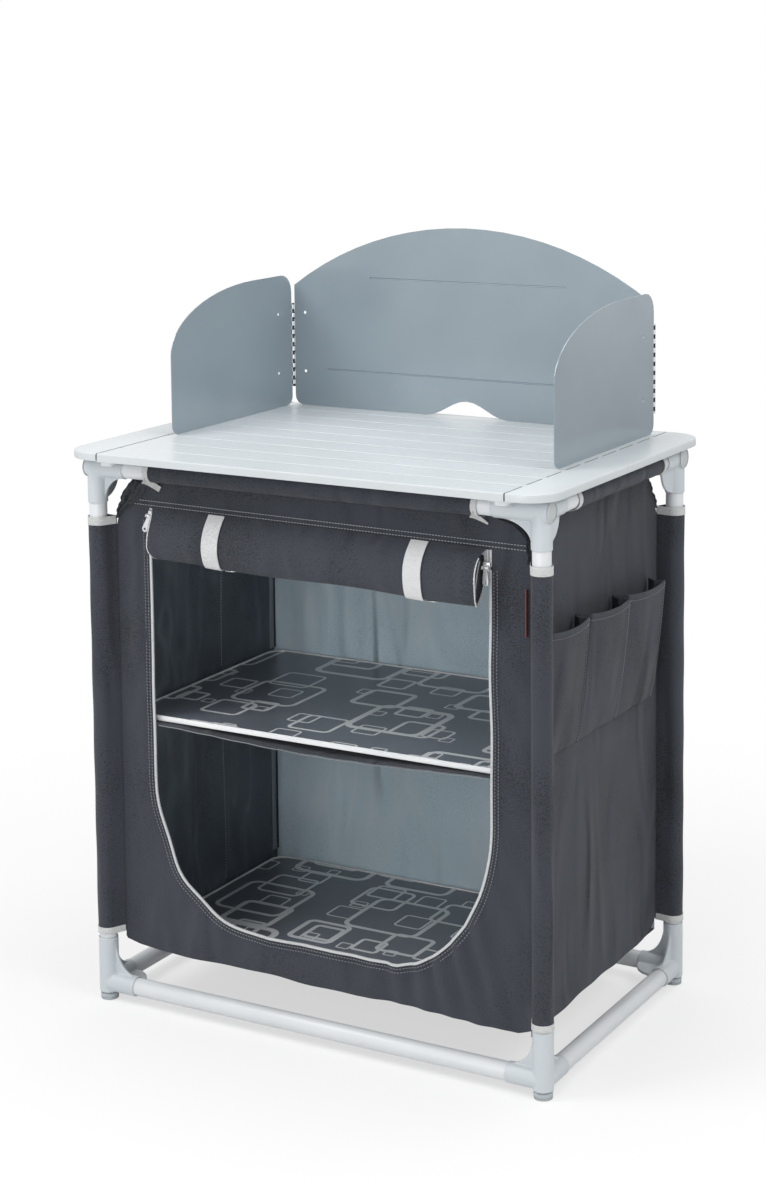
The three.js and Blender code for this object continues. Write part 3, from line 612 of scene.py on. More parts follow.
# Windscreen
# Three 1.2 mm aluminium sheets, coated blue-grey and half glossy, with rolled hinge knuckles on a
# steel pin, two pressed ribs across the back and a folded tab along the foot of each sheet.
screen_coat = coated("screen_coat", "96A2AA", "9CA8AF", 0.2, 900, 0.000003, 0.3)
# Along each hinge the coat is painted in a column of alternating squares: painted shade, and painted white
# as of the background seen through the gaps between the knuckles.
hinged_coat = coated("hinged_coat", "96A2AA", "9CA8AF", 0.2, 900, 0.000003, 0.3)
shader = hinged_coat.node_tree.nodes["Principled BSDF"]
place = node(hinged_coat, "SeparateXYZ", {"Vector": node(hinged_coat, "TexCoord").outputs["Object"]})
out = maths(hinged_coat, "ABSOLUTE", place.outputs["X"])
near_x = maths(hinged_coat, "COMPARE", out, 0.303, 0.0030)
near_y = maths(hinged_coat, "COMPARE", place.outputs["Y"], 0.2355, 0.0032)
near_z = maths(hinged_coat, "COMPARE", place.outputs["Z"], 0.893, 0.065)
near = maths(hinged_coat, "MULTIPLY", near_x, near_y)
near = maths(hinged_coat, "MULTIPLY", near, near_z)
beyond = maths(hinged_coat, "GREATER_THAN", out, 0.303)
row = maths(hinged_coat, "DIVIDE", place.outputs["Z"], 0.013)
row = maths(hinged_coat, "MULTIPLY_ADD", beyond, 0.5, row)
row = maths(hinged_coat, "FRACT", row)
gap_shade_rows = maths(hinged_coat, "GREATER_THAN", row, 0.5)
hinge_shade = node(
    hinged_coat, "Mix", {0: gap_shade_rows, 6: colour("E6EAEC"), 7: colour("2C3237")}, data_type="RGBA"
)
ground = shader.inputs["Base Color"].links[0].from_socket
# Painted shade and painted see-through white, laid over the hinge column only.
hinge_gap_paint = node(hinged_coat, "Mix", {0: near, 6: ground, 7: hinge_shade.outputs[2]}, data_type="RGBA")
linked(hinged_coat, hinge_gap_paint.outputs[2], "Principled BSDF", "Base Color")
for cad_name in ("windscreen_back", "windscreen_wing_left", "windscreen_wing_right"):
    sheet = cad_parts[cad_name]
    sheet.data.materials.clear()
    sheet.data.materials.append(hinged_coat)
for tab_name, body, low, high in (
    ("foot_tab_back_left", "windscreen", (-0.280, 0.23655, 0.8003), (-0.105, 0.2370, 0.8123)),
    ("foot_tab_back_right", "windscreen", (0.082, 0.23655, 0.8003), (0.280, 0.2370, 0.8123)),
    ("foot_tab_wing_left", "wing_left", (-0.3035, -0.020, 0.8003), (-0.30305, 0.190, 0.8123)),
    ("foot_tab_wing_right", "wing_right", (0.30305, -0.020, 0.8003), (0.3035, 0.190, 0.8123)),
):
    low, high = Vector(low), Vector(high)
    tab = block((low + high) / 2, high - low)
    modifier(tab, "BEVEL", width=0.0002, segments=2)
    dressed(tab, tab_name, screen_coat, body=body)

# Cloth of the cupboard
# Anthracite polyester in a plain weave of about 0.9 mm, with a blue-grey water-tight coating on
# its inner side that shines softly and shows every crease, with a painted highlight on the crease ridges.


def woven(name, low, high, thread, depth, roughness, sheen, crease=0.0, ridge_highlight=0.0):
    """A woven cloth: two near shades in clouds and flecks, threads a set distance apart on any of
    the three planes, and where crease isn't 0 fine crumples that high in metres, whose ridges are
    painted paler, a painted highlight, by the share its last argument gives."""
    finish = bpy.data.materials.new(name)
    finish.use_nodes = True
    shader = finish.node_tree.nodes["Principled BSDF"]
    place = node(finish, "TexCoord").outputs["Object"]
    clouds = node(finish, "TexNoise", {"Vector": place, "Scale": 6, "Detail": 2})
    flecks = node(finish, "TexNoise", {"Vector": place, "Scale": 560, "Detail": 3})
    clouds = maths(finish, "MULTIPLY_ADD", clouds, 0.9, -0.20)
    both = maths(finish, "MULTIPLY_ADD", flecks, 1.5, clouds)
    shades = node(finish, "ValToRGB", {"Fac": both})
    shades.color_ramp.elements[0].position = 0.70
    shades.color_ramp.elements[0].color = colour(low)
    shades.color_ramp.elements[1].position = 1.0
    shades.color_ramp.elements[1].color = colour(high)
    turn = 2 * math.pi / thread
    scaled = vectors(finish, "MULTIPLY", place, (turn, turn, turn))
    waves = vectors(finish, "SINE", scaled)
    weave = vectors(finish, "DOT_PRODUCT", waves, (0.5, 0.5, 0.5))
    relief = node(finish, "Bump", {"Height": weave.outputs["Value"], "Distance": depth, "Strength": 0.5})
    if crease:
        stretch = node(finish, "Mapping", {"Vector": place, "Scale": (1.9, 1.9, 0.5)})
        folds = node(
            finish,
            "TexNoise",
            {"Vector": stretch, "Scale": 9, "Detail": 3, "Distortion": 0.8, "Roughness": 0.45},
            noise_type="RIDGED_MULTIFRACTAL",
        )
        soft = node(
            finish, "Bump", {"Height": folds, "Distance": crease, "Strength": 1.0, "Normal": relief}
        )
        relief = soft
        ridge = node(finish, "TexNoise", {"Vector": stretch, "Scale": 8, "Detail": 2, "Distortion": 0.3})
        ridge = maths(finish, "SUBTRACT", ridge, 0.5)
        ridge = maths(finish, "ABSOLUTE", ridge)
        ridge = node(
            finish,
            "MapRange",
            {"Value": ridge, "From Min": 0.0, "From Max": 0.06, "To Min": 1.0, "To Max": 0.0},
        )
        # Painted highlight: the ridges of the crumples are mixed towards a pale blue-grey, in patches, by
        # the share given.
        patches = node(finish, "TexNoise", {"Vector": place, "Scale": 6, "Detail": 2})
        patches = node(
            finish, "MapRange", {"Value": patches, "From Min": 0.45, "From Max": 0.62, "To Max": ridge_highlight}
        )
        painted_ridge_light = maths(finish, "MULTIPLY", ridge, patches)
        shades = node(finish, "Mix", {0: painted_ridge_light, 6: shades, 7: (0.74, 0.80, 0.84, 1)}, data_type="RGBA")
    else:
        shades = node(finish, "Mix", {0: 0.0, 6: shades}, data_type="RGBA")
    linked(finish, shades.outputs[2], "Principled BSDF", "Base Color")
    linked(finish, relief, "Principled BSDF", "Normal")
    shader.inputs["Roughness"].default_value = roughness
    shader.inputs["Specular IOR Level"].default_value = 0.35
    shader.inputs["Sheen Weight"].default_value = sheen
    shader.inputs["Sheen Roughness"].default_value = 0.45
    return finish


outer_cloth = woven("outer_cloth", "212429", "393D45", 0.0009, 0.0003, 0.8, 0.10, 0.012)
# The lining is made in two copies of one cloth: lining, pale and lit, for the back wall's inner side, and
# the darker copy below, which is painted shade, for the inner sides of the front and side walls.
lining = woven("lining", "B9CFDB", "CDE1EB", 0.0011, 0.0001, 0.4, 0.15, 0.017, 0.42)
side_lining = woven("side_lining", "3E454D", "5A626C", 0.0011, 0.0001, 0.42, 0.12, 0.012, 0.10)
elastic_cloth = woven("elastic_cloth", "1F2125", "34373D", 0.0009, 0.0002, 0.8, 0.1)
binding_tape = woven("binding_tape", "B4B5B5", "C9CACA", 0.0012, 0.0002, 0.75, 0.2)
thread = coated("thread", "6E7176", "808388", 0.7, 2000, 0.00003)
pale_thread = coated("pale_thread", "9EA2A7", "B2B6BA", 0.7, 2000, 0.00003)


def between(value, stops):
    """The height of a line through (place, height) stops, level beyond its ends."""
    for (start, low), (end, high) in zip(stops, stops[1:]):
        if value <= end:
            return low + (high - low) * max(0.0, (value - start) / (end - start))
    return stops[-1][1]


def hump(away, half_width):
    """1 at its middle, falling softly to 0 half a width away."""
    return (1 + math.cos(math.pi * away / half_width)) / 2 if abs(away) < half_width else 0.0


def cloth_grid(columns, rows, place):
    """A sheet as a grid whose points go to place(across, up), both shares from 0 to 1."""
    bpy.ops.mesh.primitive_grid_add(x_subdivisions=columns, y_subdivisions=rows, size=1)
    sheet = bpy.context.object
    for point in sheet.data.vertices:
        point.co = place(point.co.x + 0.5, point.co.y + 0.5)
    return sheet


def sewn(name, points, finish=thread, gap=0.0046, length=0.0022):
    """A row of stitches along a line of points, each a small rounded bar laid on the cloth."""
    line = bpy.data.curves.new(name, "CURVE")
    line.dimensions = "3D"
    spline = line.splines.new("POLY")
    spline.points.add(len(points) - 1)
    for knot, point in zip(spline.points, points):
        knot.co = (*point, 1)
    guide = placed(name + "_line", line)
    row = block((0, 0, 0), (length, 0.0009, 0.0008))
    settled(row)
    edit_faces(row, lambda middle, normal: abs(normal.x) > 0.9)
    bpy.ops.mesh.extrude_region_move()
    bpy.ops.transform.resize(value=(1.3, 0.5, 0.5), center_override=(0, 0, 0))
    leave_edit()
    modifier(
        row,
        "ARRAY",
        fit_type="FIT_CURVE",
        curve=guide,
        use_relative_offset=False,
        use_constant_offset=True,
        constant_offset_displace=(gap, 0, 0),
    )
    modifier(row, "CURVE", object=guide, deform_axis="POS_X")
    dressed(row, name, finish, angle=60)
    bpy.data.objects.remove(guide)


def face_area(piece):
    """The area of a single sheet, before it gets its thickness."""
    return sum(face.area for face in piece.data.polygons)


# Top sleeves
# Each wall's upper hem is a loop of cloth round an upper tube, pinched to a crease below it.
SLEEVE_RADIUS = 0.0142
FRONT_CREASE = (-0.0118, -0.0172)
SIDE_CREASE = (-0.0185, -0.0189)
WALL_X = 0.3240
WALL_THICKNESS = 0.0014
LEAN_START = 0.734
LEAN_RISE = 0.0203


def loop_round(crease, radius, share):
    """A point (outwards, up) on a loop round a tube that is pinched at the crease; 0 and 1 are at
    the crease, and the shares between go over the tube from its outer side to its inner."""
    reach = math.hypot(*crease)
    pinch = math.atan2(crease[1], crease[0])
    spread = math.acos(min(1.0, radius / reach))
    straight = math.sqrt(max(0.0, reach * reach - radius * radius))
    around = radius * (2 * math.pi - 2 * spread)
    along = share * (2 * straight + around)
    leave = pinch + spread
    arrive = pinch - spread + 2 * math.pi
    if along < straight:
        part = along / straight
        return (
            crease[0] + (radius * math.cos(leave) - crease[0]) * part,
            crease[1] + (radius * math.sin(leave) - crease[1]) * part,
        )
    if along < straight + around:
        angle = leave + (along - straight) / radius
        return (radius * math.cos(angle), radius * math.sin(angle))
    part = (along - straight - around) / straight
    return (
        radius * math.cos(arrive) + (crease[0] - radius * math.cos(arrive)) * part,
        radius * math.sin(arrive) + (crease[1] - radius * math.sin(arrive)) * part,
    )


def top_sleeve(side, low, high, crease, radius=SLEEVE_RADIUS, columns=64):
    """A loop of cloth round an upper tube; side is front, back, left or right."""

    def place(across, around):
        run = low + (high - low) * across
        slack = 0.0005 * math.sin(run * 47) + 0.0004 * math.sin(run * 113 + 1)
        outwards, up = loop_round(crease, radius + slack * math.sin(math.pi * around) ** 2, around)
        if side in ("front", "back"):
            sign = -1 if side == "front" else 1
            return (run, sign * (POST_Y + outwards), TUBE_HEIGHT + up)
        sign = -1 if side == "left" else 1
        return (sign * (POST_X + outwards), run, TUBE_HEIGHT + up)

    sleeve = cloth_grid(columns, 40, place)
    edit_all(sleeve)
    if side in ("back", "left"):
        bpy.ops.mesh.flip_normals()
    leave_edit()
    return sleeve


# Front and back walls
# One panel each, 648 mm wide and 610 mm high, with rounded shoulders up to the sleeve; the door
# opening is cut into the front one, and both hang in slight folds.
front_half_width = [
    (0.690, 0.3222),
    (0.702, 0.3205),
    (0.715, 0.3170),
    (0.734, 0.3095),
    (0.748, 0.2990),
    (0.7550, 0.2880),
    (0.7562, 0.2570),
]
front_right_width = [
    (0.690, 0.3232), (0.715, 0.3232), (0.729, 0.3226), (0.740, 0.3175), (0.7490, 0.3060), (0.7562, 0.2720)
]
front_hem = [
    (-0.322, 0.0885),
    (-0.30, 0.0835),
    (-0.26, 0.0795),
    (-0.20, 0.0795),
    (-0.08, 0.0790),
    (0.06, 0.0765),
    (0.16, 0.0790),
    (0.24, 0.0745),
    (0.302, 0.0725),
    (0.322, 0.0800),
]


def front_relief(x, z):
    """How far the front panel stands forward of its flat place."""
    free = hump(max(0.0, abs(x) - 0.19), 0.135) if x < 0 else 1 - max(0.0, (abs(x) - 0.29) / 0.035)
    free = max(0.0, min(1.0, free)) * (1 - min(1.0, max(0.0, (z - 0.56) / 0.08)))
    low = max(0.0, 1 - (z - 0.08) / 0.32) ** 0.8
    folds = 0.0
    for at, slope, depth in (
        (0.085, 0.02, 0.6),
        (0.128, 0.08, 0.9),
        (0.168, 0.16, 1.0),
        (0.208, 0.24, 1.1),
        (0.246, 0.30, 1.0),
        (0.282, 0.30, 0.7),
    ):
        folds += 0.0086 * depth * hump(x - at + slope * (z - 0.08), 0.0205)
    folds *= 0.25 + 0.75 * min(1.0, max(0.0, z - 0.075) / 0.06)
    wide = 0.0024 * math.sin(x * 31 + z * 9 + 1) * math.sin(z * 13) + 0.0012 * math.sin(x * 67 - z * 41)
    drawn = 0.0
    if abs(x) > 0.262:
        share = min(1.0, (0.322 - abs(x)) / 0.058)
        ripple = 0.0017 * math.sin(z * 34 + share * 3) + 0.0010 * math.sin(z * 71 - share * 5 + x * 4)
        drawn = math.sin(math.pi * share) * ripple
        drawn *= min(1.0, max(0.0, (0.70 - z) / 0.08)) * min(1.0, max(0.0, (z - 0.09) / 0.1))
    return free * (folds * low + wide) + drawn


def back_relief(x, z):
    """How far the back panel stands behind its flat place: loose upright folds, most at the left."""
    loose = hump(x, 0.33) * min(1.0, max(0.0, (0.70 - z) / 0.05)) * (1 - 0.8 * hump(z - 0.412, 0.04))
    upright = 0.0016 * math.sin(x * 71 + 40 * x * x + 2.5 * math.sin(z * 11)) * hump(x + 0.17, 0.15)
    upright += 0.0012 * math.sin(x * 47 - z * 8)
    return loose * (upright + 0.0022 * math.sin(x * 26 + z * 11) * math.sin(z * 17 + 0.5))


def lengthwise_wall(sign):
    def place(across, up):
        hem = between((across - 0.5) * 0.644, front_hem) if sign < 0 else 0.080
        z = hem + (TUBE_HEIGHT + FRONT_CREASE[1] + 0.0008 - hem) * up
        widths = front_right_width if sign < 0 and across > 0.5 else front_half_width
        x = (across * 2 - 1) * between(z, widths)
        if sign > 0:
            x = -x
        relief = front_relief(x, z) if sign < 0 else back_relief(x, z)
        towards_sleeve = max(0.0, z - 0.735) / 0.0208
        return (x, sign * (0.2000 + 0.0006 * towards_sleeve + relief), z)

    return cloth_grid(120, 104, place)


DOOR_HALF_WIDTH = 0.267
DOOR_SILL = 0.132
DOOR_TOP = 0.712
DOOR_CORNER = (0.160, 0.218)


def opening_path(steps=26):
    """The opening's edge from its upper left corner down, along the sill and up to the right."""
    wide, high = DOOR_CORNER
    level = DOOR_SILL + high
    straight = DOOR_HALF_WIDTH - wide
    points = [Vector((-DOOR_HALF_WIDTH, 0, DOOR_TOP - (DOOR_TOP - level) * i / 12)) for i in range(12)]
    for i in range(steps + 1):
        angle = math.pi + math.pi / 2 * i / steps
        slack = 0.0022 * math.sin(i * 0.62) * math.sin(math.pi * i / steps)
        x = -straight + (wide + slack) * math.cos(angle)
        points.append(Vector((x, 0, level + (high + slack) * math.sin(angle))))
    for i in range(1, 8):
        points.append(Vector((straight * (i / 4 - 1), 0, DOOR_SILL - 0.0012 * math.sin(i * 1.3))))
    for i in range(steps + 1):
        angle = 1.5 * math.pi + math.pi / 2 * i / steps
        points.append(Vector((straight + wide * math.cos(angle), 0, level + high * math.sin(angle))))
    points += [Vector((DOOR_HALF_WIDTH, 0, level + (DOOR_TOP - level) * i / 12)) for i in range(1, 13)]
    return points


def outer_wall(parts, name, inside):
    area = sum(face_area(part) for part in parts)
    for part in parts:
        part.data.materials.append(outer_cloth)
        part.data.materials.append(inside)
        modifier(
            part, "SOLIDIFY", thickness=WALL_THICKNESS, offset=-1, use_even_offset=True, material_offset=1
        )
        only(part)
        bpy.ops.object.modifier_apply(modifier=part.modifiers[0].name)
    only(*parts)
    bpy.ops.object.join()
    wall = parts[0]
    finished(wall, name, 50)
    return wall, area


front = lengthwise_wall(-1)
outline = opening_path()
door_void = bpy.data.meshes.new("door_void")
count = len(outline)
ends = [list(range(count)), list(range(2 * count - 1, count - 1, -1))]
flanks = [[i, i + count, (i + 1) % count + count, (i + 1) % count] for i in range(count)]
door_void.from_pydata([(p.x, y, p.z) for y in (-0.25, -0.15) for p in outline], [], ends + flanks)
cutter = placed("door_void", door_void)
edit_all(cutter)
bpy.ops.mesh.normals_make_consistent(inside=False)
leave_edit()
front_wall, area = outer_wall(
    [front, top_sleeve("front", -0.2560, 0.2560, FRONT_CREASE)], "cloth_front", side_lining
)
cut(front_wall, cutter)
finished(front_wall, "cloth_front", 50)
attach(front_wall, "frame_and_cupboard")
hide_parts("cupboard_front")

back_wall, area = outer_wall(
    [lengthwise_wall(1), top_sleeve("back", -0.2560, 0.2560, FRONT_CREASE)], "cloth_back", lining
)
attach(back_wall, "frame_and_cupboard")
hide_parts("cupboard_back")

# Side walls
# Panels 400 mm deep that lean out to the side tubes above 734 mm; the left one hangs loose in
# standing folds, and the right one is drawn flat by its pockets.
side_front_edge = [
    (0.690, 0.1995),
    (0.702, 0.1950),
    (0.713, 0.1900),
    (0.728, 0.1800),
    (0.741, 0.1650),
    (0.752, 0.1450),
    (0.7544, 0.1270),
]
side_back_edge = [
    (0.690, 0.1995), (0.702, 0.1960), (0.720, 0.1860), (0.740, 0.1740), (0.752, 0.1640), (0.7544, 0.1500)
]
side_hem = {
    -1: [(-0.20, 0.0905), (-0.10, 0.0860), (0.02, 0.0810), (0.20, 0.0800)],
    1: [
        (-0.20, 0.0715),
        (-0.12, 0.0735),
        (-0.03, 0.0790),
        (0.10, 0.0785),
        (0.165, 0.0815),
        (0.188, 0.0880),
        (0.20, 0.1000),
    ],
}
fold_places = [(-0.148, 0.6), (-0.080, -0.5), (-0.024, 1.0), (0.048, -0.7), (0.100, 0.9), (0.152, -0.6)]


def side_relief(sign, y, z):
    """How far a side panel stands out of its flat place."""
    edge = min(1.0, max(0.0, (0.2 - abs(y)) / 0.022)) * (1 - min(1.0, max(0.0, (z - 0.66) / 0.06)))
    edge *= (1 - hump(z - 0.412, 0.030)) * (1 - hump(z - 0.081, 0.022))
    if sign > 0:
        soft = math.sin(y * 21 + z * 14) * math.sin(z * 9 + 0.4) + 0.5 * math.sin(y * 52 - z * 31)
        return edge * (0.0011 * soft - 0.0016)
    held = abs(math.sin(2 * math.pi * (z - 0.08) / 0.654))
    folds = sum(depth * hump(y - at - 0.02 * math.sin(z * 7 + at * 40), 0.026) for at, depth in fold_places)
    fine = 0.0011 * math.sin(y * 92 + 2.2 * math.sin(z * 6)) + 0.0005 * math.sin(y * 171 + z * 9)
    return edge * (0.0044 * folds * (0.35 + 0.65 * held) + fine)


def side_wall(sign):
    def place(across, up):
        share = (across * 2 - 1) * sign
        hem = between(share * 0.1995, side_hem[sign]) + (0.0010 * math.sin(share * 16) if sign > 0 else 0.0)
        z = hem + (TUBE_HEIGHT + SIDE_CREASE[1] + 0.0008 - hem) * up
        y = share * between(z, side_front_edge if share < 0 else side_back_edge)
        lean = max(0.0, z - LEAN_START) / LEAN_RISE
        return (sign * (WALL_X + 0.0033 * lean + side_relief(sign, y, z)), y, z)

    return cloth_grid(110, 90, place)


for side, sign in (("left", -1), ("right", 1)):
    wall, area = outer_wall(
        [side_wall(sign), top_sleeve(side, -0.127, 0.150, SIDE_CREASE, columns=40)],
        f"cloth_{side}",
        side_lining,
    )
    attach(wall, "frame_and_cupboard")
    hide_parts(f"cupboard_{side}")

# Post covers
# A sewn sleeve round each post, drawn out to the cupboard's corner, 610 mm high, with light tape
# round its upper and lower ends.
for corner, (side_x, side_y) in corners.items():
    post = Vector((side_x * POST_X, side_y * POST_Y, 0))
    inwards = Vector((side_x * 0.3236, side_y * 0.1996, 0)) - post
    reach = inwards.length
    inwards.normalize()
    aside = Vector((-inwards.y, inwards.x, 0))
    foot = {"front_left": 0.0985, "front_right": 0.0925}.get(corner, 0.0955)

    def cover_place(around, up, radius=SLEEVE_RADIUS, low=foot + 0.0010, high=0.7025):
        z = low + (high - low) * up
        along, across = loop_round((reach, 0.0), radius + 0.0003 * math.sin(z * 60 + around * 9), around)
        return post + inwards * along + aside * across + Vector((0, 0, z))

    cover = cloth_grid(44, 40, cover_place)
    modifier(cover, "SOLIDIFY", thickness=0.0011, offset=-1)
    dressed(cover, f"post_cover_{corner}", outer_cloth, angle=60)
    for end, low, high in (("top", 0.6910, 0.7030), ("bottom", foot, foot + 0.0095)):
        band = cloth_grid(
            44, 3, lambda around, up, low=low, high=high: cover_place(around, up, 0.0150, low, high)
        )
        modifier(band, "SOLIDIFY", thickness=0.0008, offset=-1)
        modifier(
            band, "BEVEL", width=0.0002, segments=1, limit_method="ANGLE", angle_limit=math.radians(60)
        )
        dressed(band, f"post_binding_{end}_{corner}", binding_tape, angle=50)

# Sleeve bindings
# Light tape folded over the eight cut ends of the four top sleeves, and a short tail of it from
# each end of the front one down to the wall.
for side, low, high, crease in (
    ("front", -0.2595, 0.2595, FRONT_CREASE),
    ("back", -0.2595, 0.2595, FRONT_CREASE),
    ("left", -0.130, 0.153, SIDE_CREASE),
    ("right", -0.130, 0.153, SIDE_CREASE),
):
    for end, at in (("low", low), ("high", high - 0.0085)):
        band = top_sleeve(side, at, at + 0.0085, (crease[0] * 1.04, crease[1] * 1.04), 0.0150, 3)
        modifier(band, "SOLIDIFY", thickness=0.0009, offset=-1)
        dressed(band, f"sleeve_binding_{side}_{end}", binding_tape, angle=50)

for side, start, end in (("left", -0.2580, -0.2465), ("right", 0.2530, 0.2650)):

    def tail_place(across, along):
        near = -0.2262 + 0.0237 * along**0.7
        wide = (across - 0.5) * (0.0084 if side == "left" else 0.0084 - 0.0060 * along)
        x = start + (end - start) * along + 0.5 * wide
        return (x, near - 0.0010, 0.7618 - 0.0150 * along + 0.87 * wide)

    tail = cloth_grid(3, 12, tail_place)
    modifier(tail, "SOLIDIFY", thickness=0.0009, offset=0)
    dressed(tail, f"binding_tail_{side}", binding_tape, angle=50)

# Corner gathers
# Black elasticated cloth that closes the cupboard's upper corners between the walls, in small
# pleats that follow the shoulder.
GATHER_LOW = 0.700
GATHER_HIGH = 0.7542
for corner, (side_x, side_y) in corners.items():
    side_edge = side_front_edge if side_y < 0 else side_back_edge
    gather_edge = [(0.700, 0.3200), (0.712, 0.3100), (0.726, 0.2860), (0.740, 0.2740), (0.7542, 0.2700)]
    own_width = front_half_width
    if corner == "front_right":
        gather_edge = [
            (0.700, 0.3205),
            (0.715, 0.3200),
            (0.729, 0.3180),
            (0.740, 0.3100),
            (0.7490, 0.2960),
            (0.7542, 0.2780),
        ]
        own_width = front_right_width

    def gather_place(across, up):
        z = GATHER_LOW + (GATHER_HIGH - GATHER_LOW) * up
        lowest = between(z, gather_edge)
        edge = Vector((between(z, own_width) + 0.0006, 0.2012, z))
        second = Vector(
            (0.3232 + 0.0033 * max(0.0, z - LEAN_START) / LEAN_RISE, between(z, side_edge) - 0.0008, z)
        )
        pleat = 0.0040 * math.sin(across * 26 + up * 4) + 0.0024 * math.sin(across * 47 - up * 9)
        pleat += 0.0007 * math.sin(up * 40 + across * 9)
        free = min(1.0, across * 4, (1 - across) * 4)
        pleat *= math.sin(math.pi * free / 2) * (1 - 0.75 * hump(across - 0.5, 0.10))
        if across < 0.5:
            share = across / 0.5
            point = Vector((lowest, 0.2014, z)).lerp(edge, share)
            bow = math.sin(math.pi * min(1.0, share * 1.3) / 2)
            point += Vector((0, 1, 0)) * (0.0012 + 0.7 * pleat) * bow
        else:
            share = (across - 0.5) / 0.5
            bow = 0.7 * pleat + 0.003 * share * (1 - share)
            point = edge.lerp(second, share) + Vector((0.62, 0.62, 0)) * bow
        return Vector((side_x * point.x, side_y * point.y, point.z))

    gather = cloth_grid(34, 64, gather_place)
    modifier(gather, "SOLIDIFY", thickness=0.0008, offset=0)
    dressed(gather, f"corner_gather_{corner}", elastic_cloth, angle=60)

# Floor and sling
# Two rectangles of the same cloth sewn between the walls: the floor under the lower shelf, and
# the sling that carries the upper one and droops along its free front hem.
for name, cad_name, top, sag in (
    ("cloth_floor", "cupboard_floor", 0.0816, 0.0), ("cloth_sling", "shelf_sling", 0.4127, 0.009)
):

    def hammock(across, back):
        x = (across - 0.5) * 2 * 0.3220
        y = (back - 0.5) * 2 * 0.1978
        front = max(0.0, 1 - 2 * back)
        fall = sag * (math.cos(math.pi * (across - 0.5)) ** 2) * front**2
        wave = 0.0008 * math.sin(x * 55) * front**3 if sag else 0.0
        if not sag and x < 0:
            x *= 1 - 0.14 * (max(0.0, -y - 0.165) / 0.0328) ** 2
        return (x, y, top - fall - abs(wave))

    hung = cloth_grid(64, 40, hammock)
    modifier(hung, "SOLIDIFY", thickness=0.0015, offset=-1)
    dressed(hung, name, outer_cloth, angle=50, stands_for=cad_name)

# Shelf boards
# Two 6 mm fibreboards with 26 mm round corners, printed dark grey with overlapping outlines of
# rounded squares in several sizes, and edged with a silver foil that stands 1.7 mm above them.


def square_layer(finish, place, pitch, shift, sizes, lines, chance):
    """One layer of rounded-square outlines, one to a cell of the pitch, each with its own place,
    size and line; sizes and lines are shares of the pitch. Gives 1 on a line and 0 beside it."""
    cells = vectors(finish, "MULTIPLY_ADD", place, (1 / pitch, 1 / pitch, 0), (*shift, 0))
    cell = vectors(finish, "FLOOR", cells)
    inside = vectors(finish, "SUBTRACT", cells, cell)
    own = node(finish, "TexWhiteNoise", {"Vector": cell})
    other = node(finish, "SeparateColor", {"Color": own.outputs["Color"]})
    middle = vectors(finish, "MULTIPLY_ADD", own.outputs["Color"], (0.36, 0.36, 0), (0.32, 0.32, 0))
    away = vectors(finish, "SUBTRACT", inside, middle)
    away = vectors(finish, "ABSOLUTE", away)
    half = node(finish, "MapRange", {"Value": own.outputs["Value"], "To Min": sizes[0], "To Max": sizes[1]})
    radius = maths(finish, "MULTIPLY", half, 0.28)
    straight = maths(finish, "SUBTRACT", half, radius)
    reach = node(finish, "CombineXYZ", {"X": straight, "Y": straight})
    past = vectors(finish, "SUBTRACT", away, reach)
    outer = vectors(finish, "MAXIMUM", past, (0, 0, 0))
    outer = vectors(finish, "LENGTH", outer)
    sides = node(finish, "SeparateXYZ", {"Vector": past})
    inner = maths(finish, "MAXIMUM", sides.outputs["X"], sides.outputs["Y"])
    inner = maths(finish, "MINIMUM", inner, 0.0)
    distance = maths(finish, "ADD", outer.outputs["Value"], inner)
    distance = maths(finish, "SUBTRACT", distance, radius)
    distance = maths(finish, "ABSOLUTE", distance)
    width = node(
        finish,
        "MapRange",
        {
            "Value": other.outputs[2],
            "From Min": 1 - chance,
            "To Min": lines[0],
            "To Max": lines[1],
            "From Max": 1.0,
        },
    )
    drawn = maths(finish, "GREATER_THAN", other.outputs[2], 1 - chance)
    line = maths(finish, "LESS_THAN", distance, width)
    return maths(finish, "MULTIPLY", line, drawn)


def printed_board(name, shift):
    finish = coated(name, "646972", "6D727B", 0.3, 600, 0.000004)
    shader = finish.node_tree.nodes["Principled BSDF"]
    place = node(finish, "TexCoord").outputs["Object"]
    lines = None
    for pitch, own_shift, sizes, weights, chance in (
        (0.200, (0.31, 0.62), (0.24, 0.31), (0.014, 0.027), 0.95),
        (0.146, (0.73, 0.15), (0.20, 0.27), (0.015, 0.031), 0.85),
        (0.102, (0.11, 0.44), (0.17, 0.22), (0.015, 0.034), 0.7),
        (0.078, (0.52, 0.83), (0.10, 0.14), (0.015, 0.022), 0.45),
    ):
        layer = square_layer(
            finish, place, pitch, (own_shift[0] + shift[0], own_shift[1] + shift[1]), sizes, weights, chance
        )
        if lines is None:
            lines = layer
        else:
            lines = maths(finish, "MAXIMUM", lines, layer)
    ground = shader.inputs["Base Color"].links[0].from_socket
    inked = node(finish, "Mix", {0: lines, 6: ground, 7: colour("E2E4E6")}, data_type="RGBA")
    linked(finish, inked.outputs[2], "Principled BSDF", "Base Color")
    shader.inputs["Coat Weight"].default_value = 0.25
    shader.inputs["Coat Roughness"].default_value = 0.25
    return finish


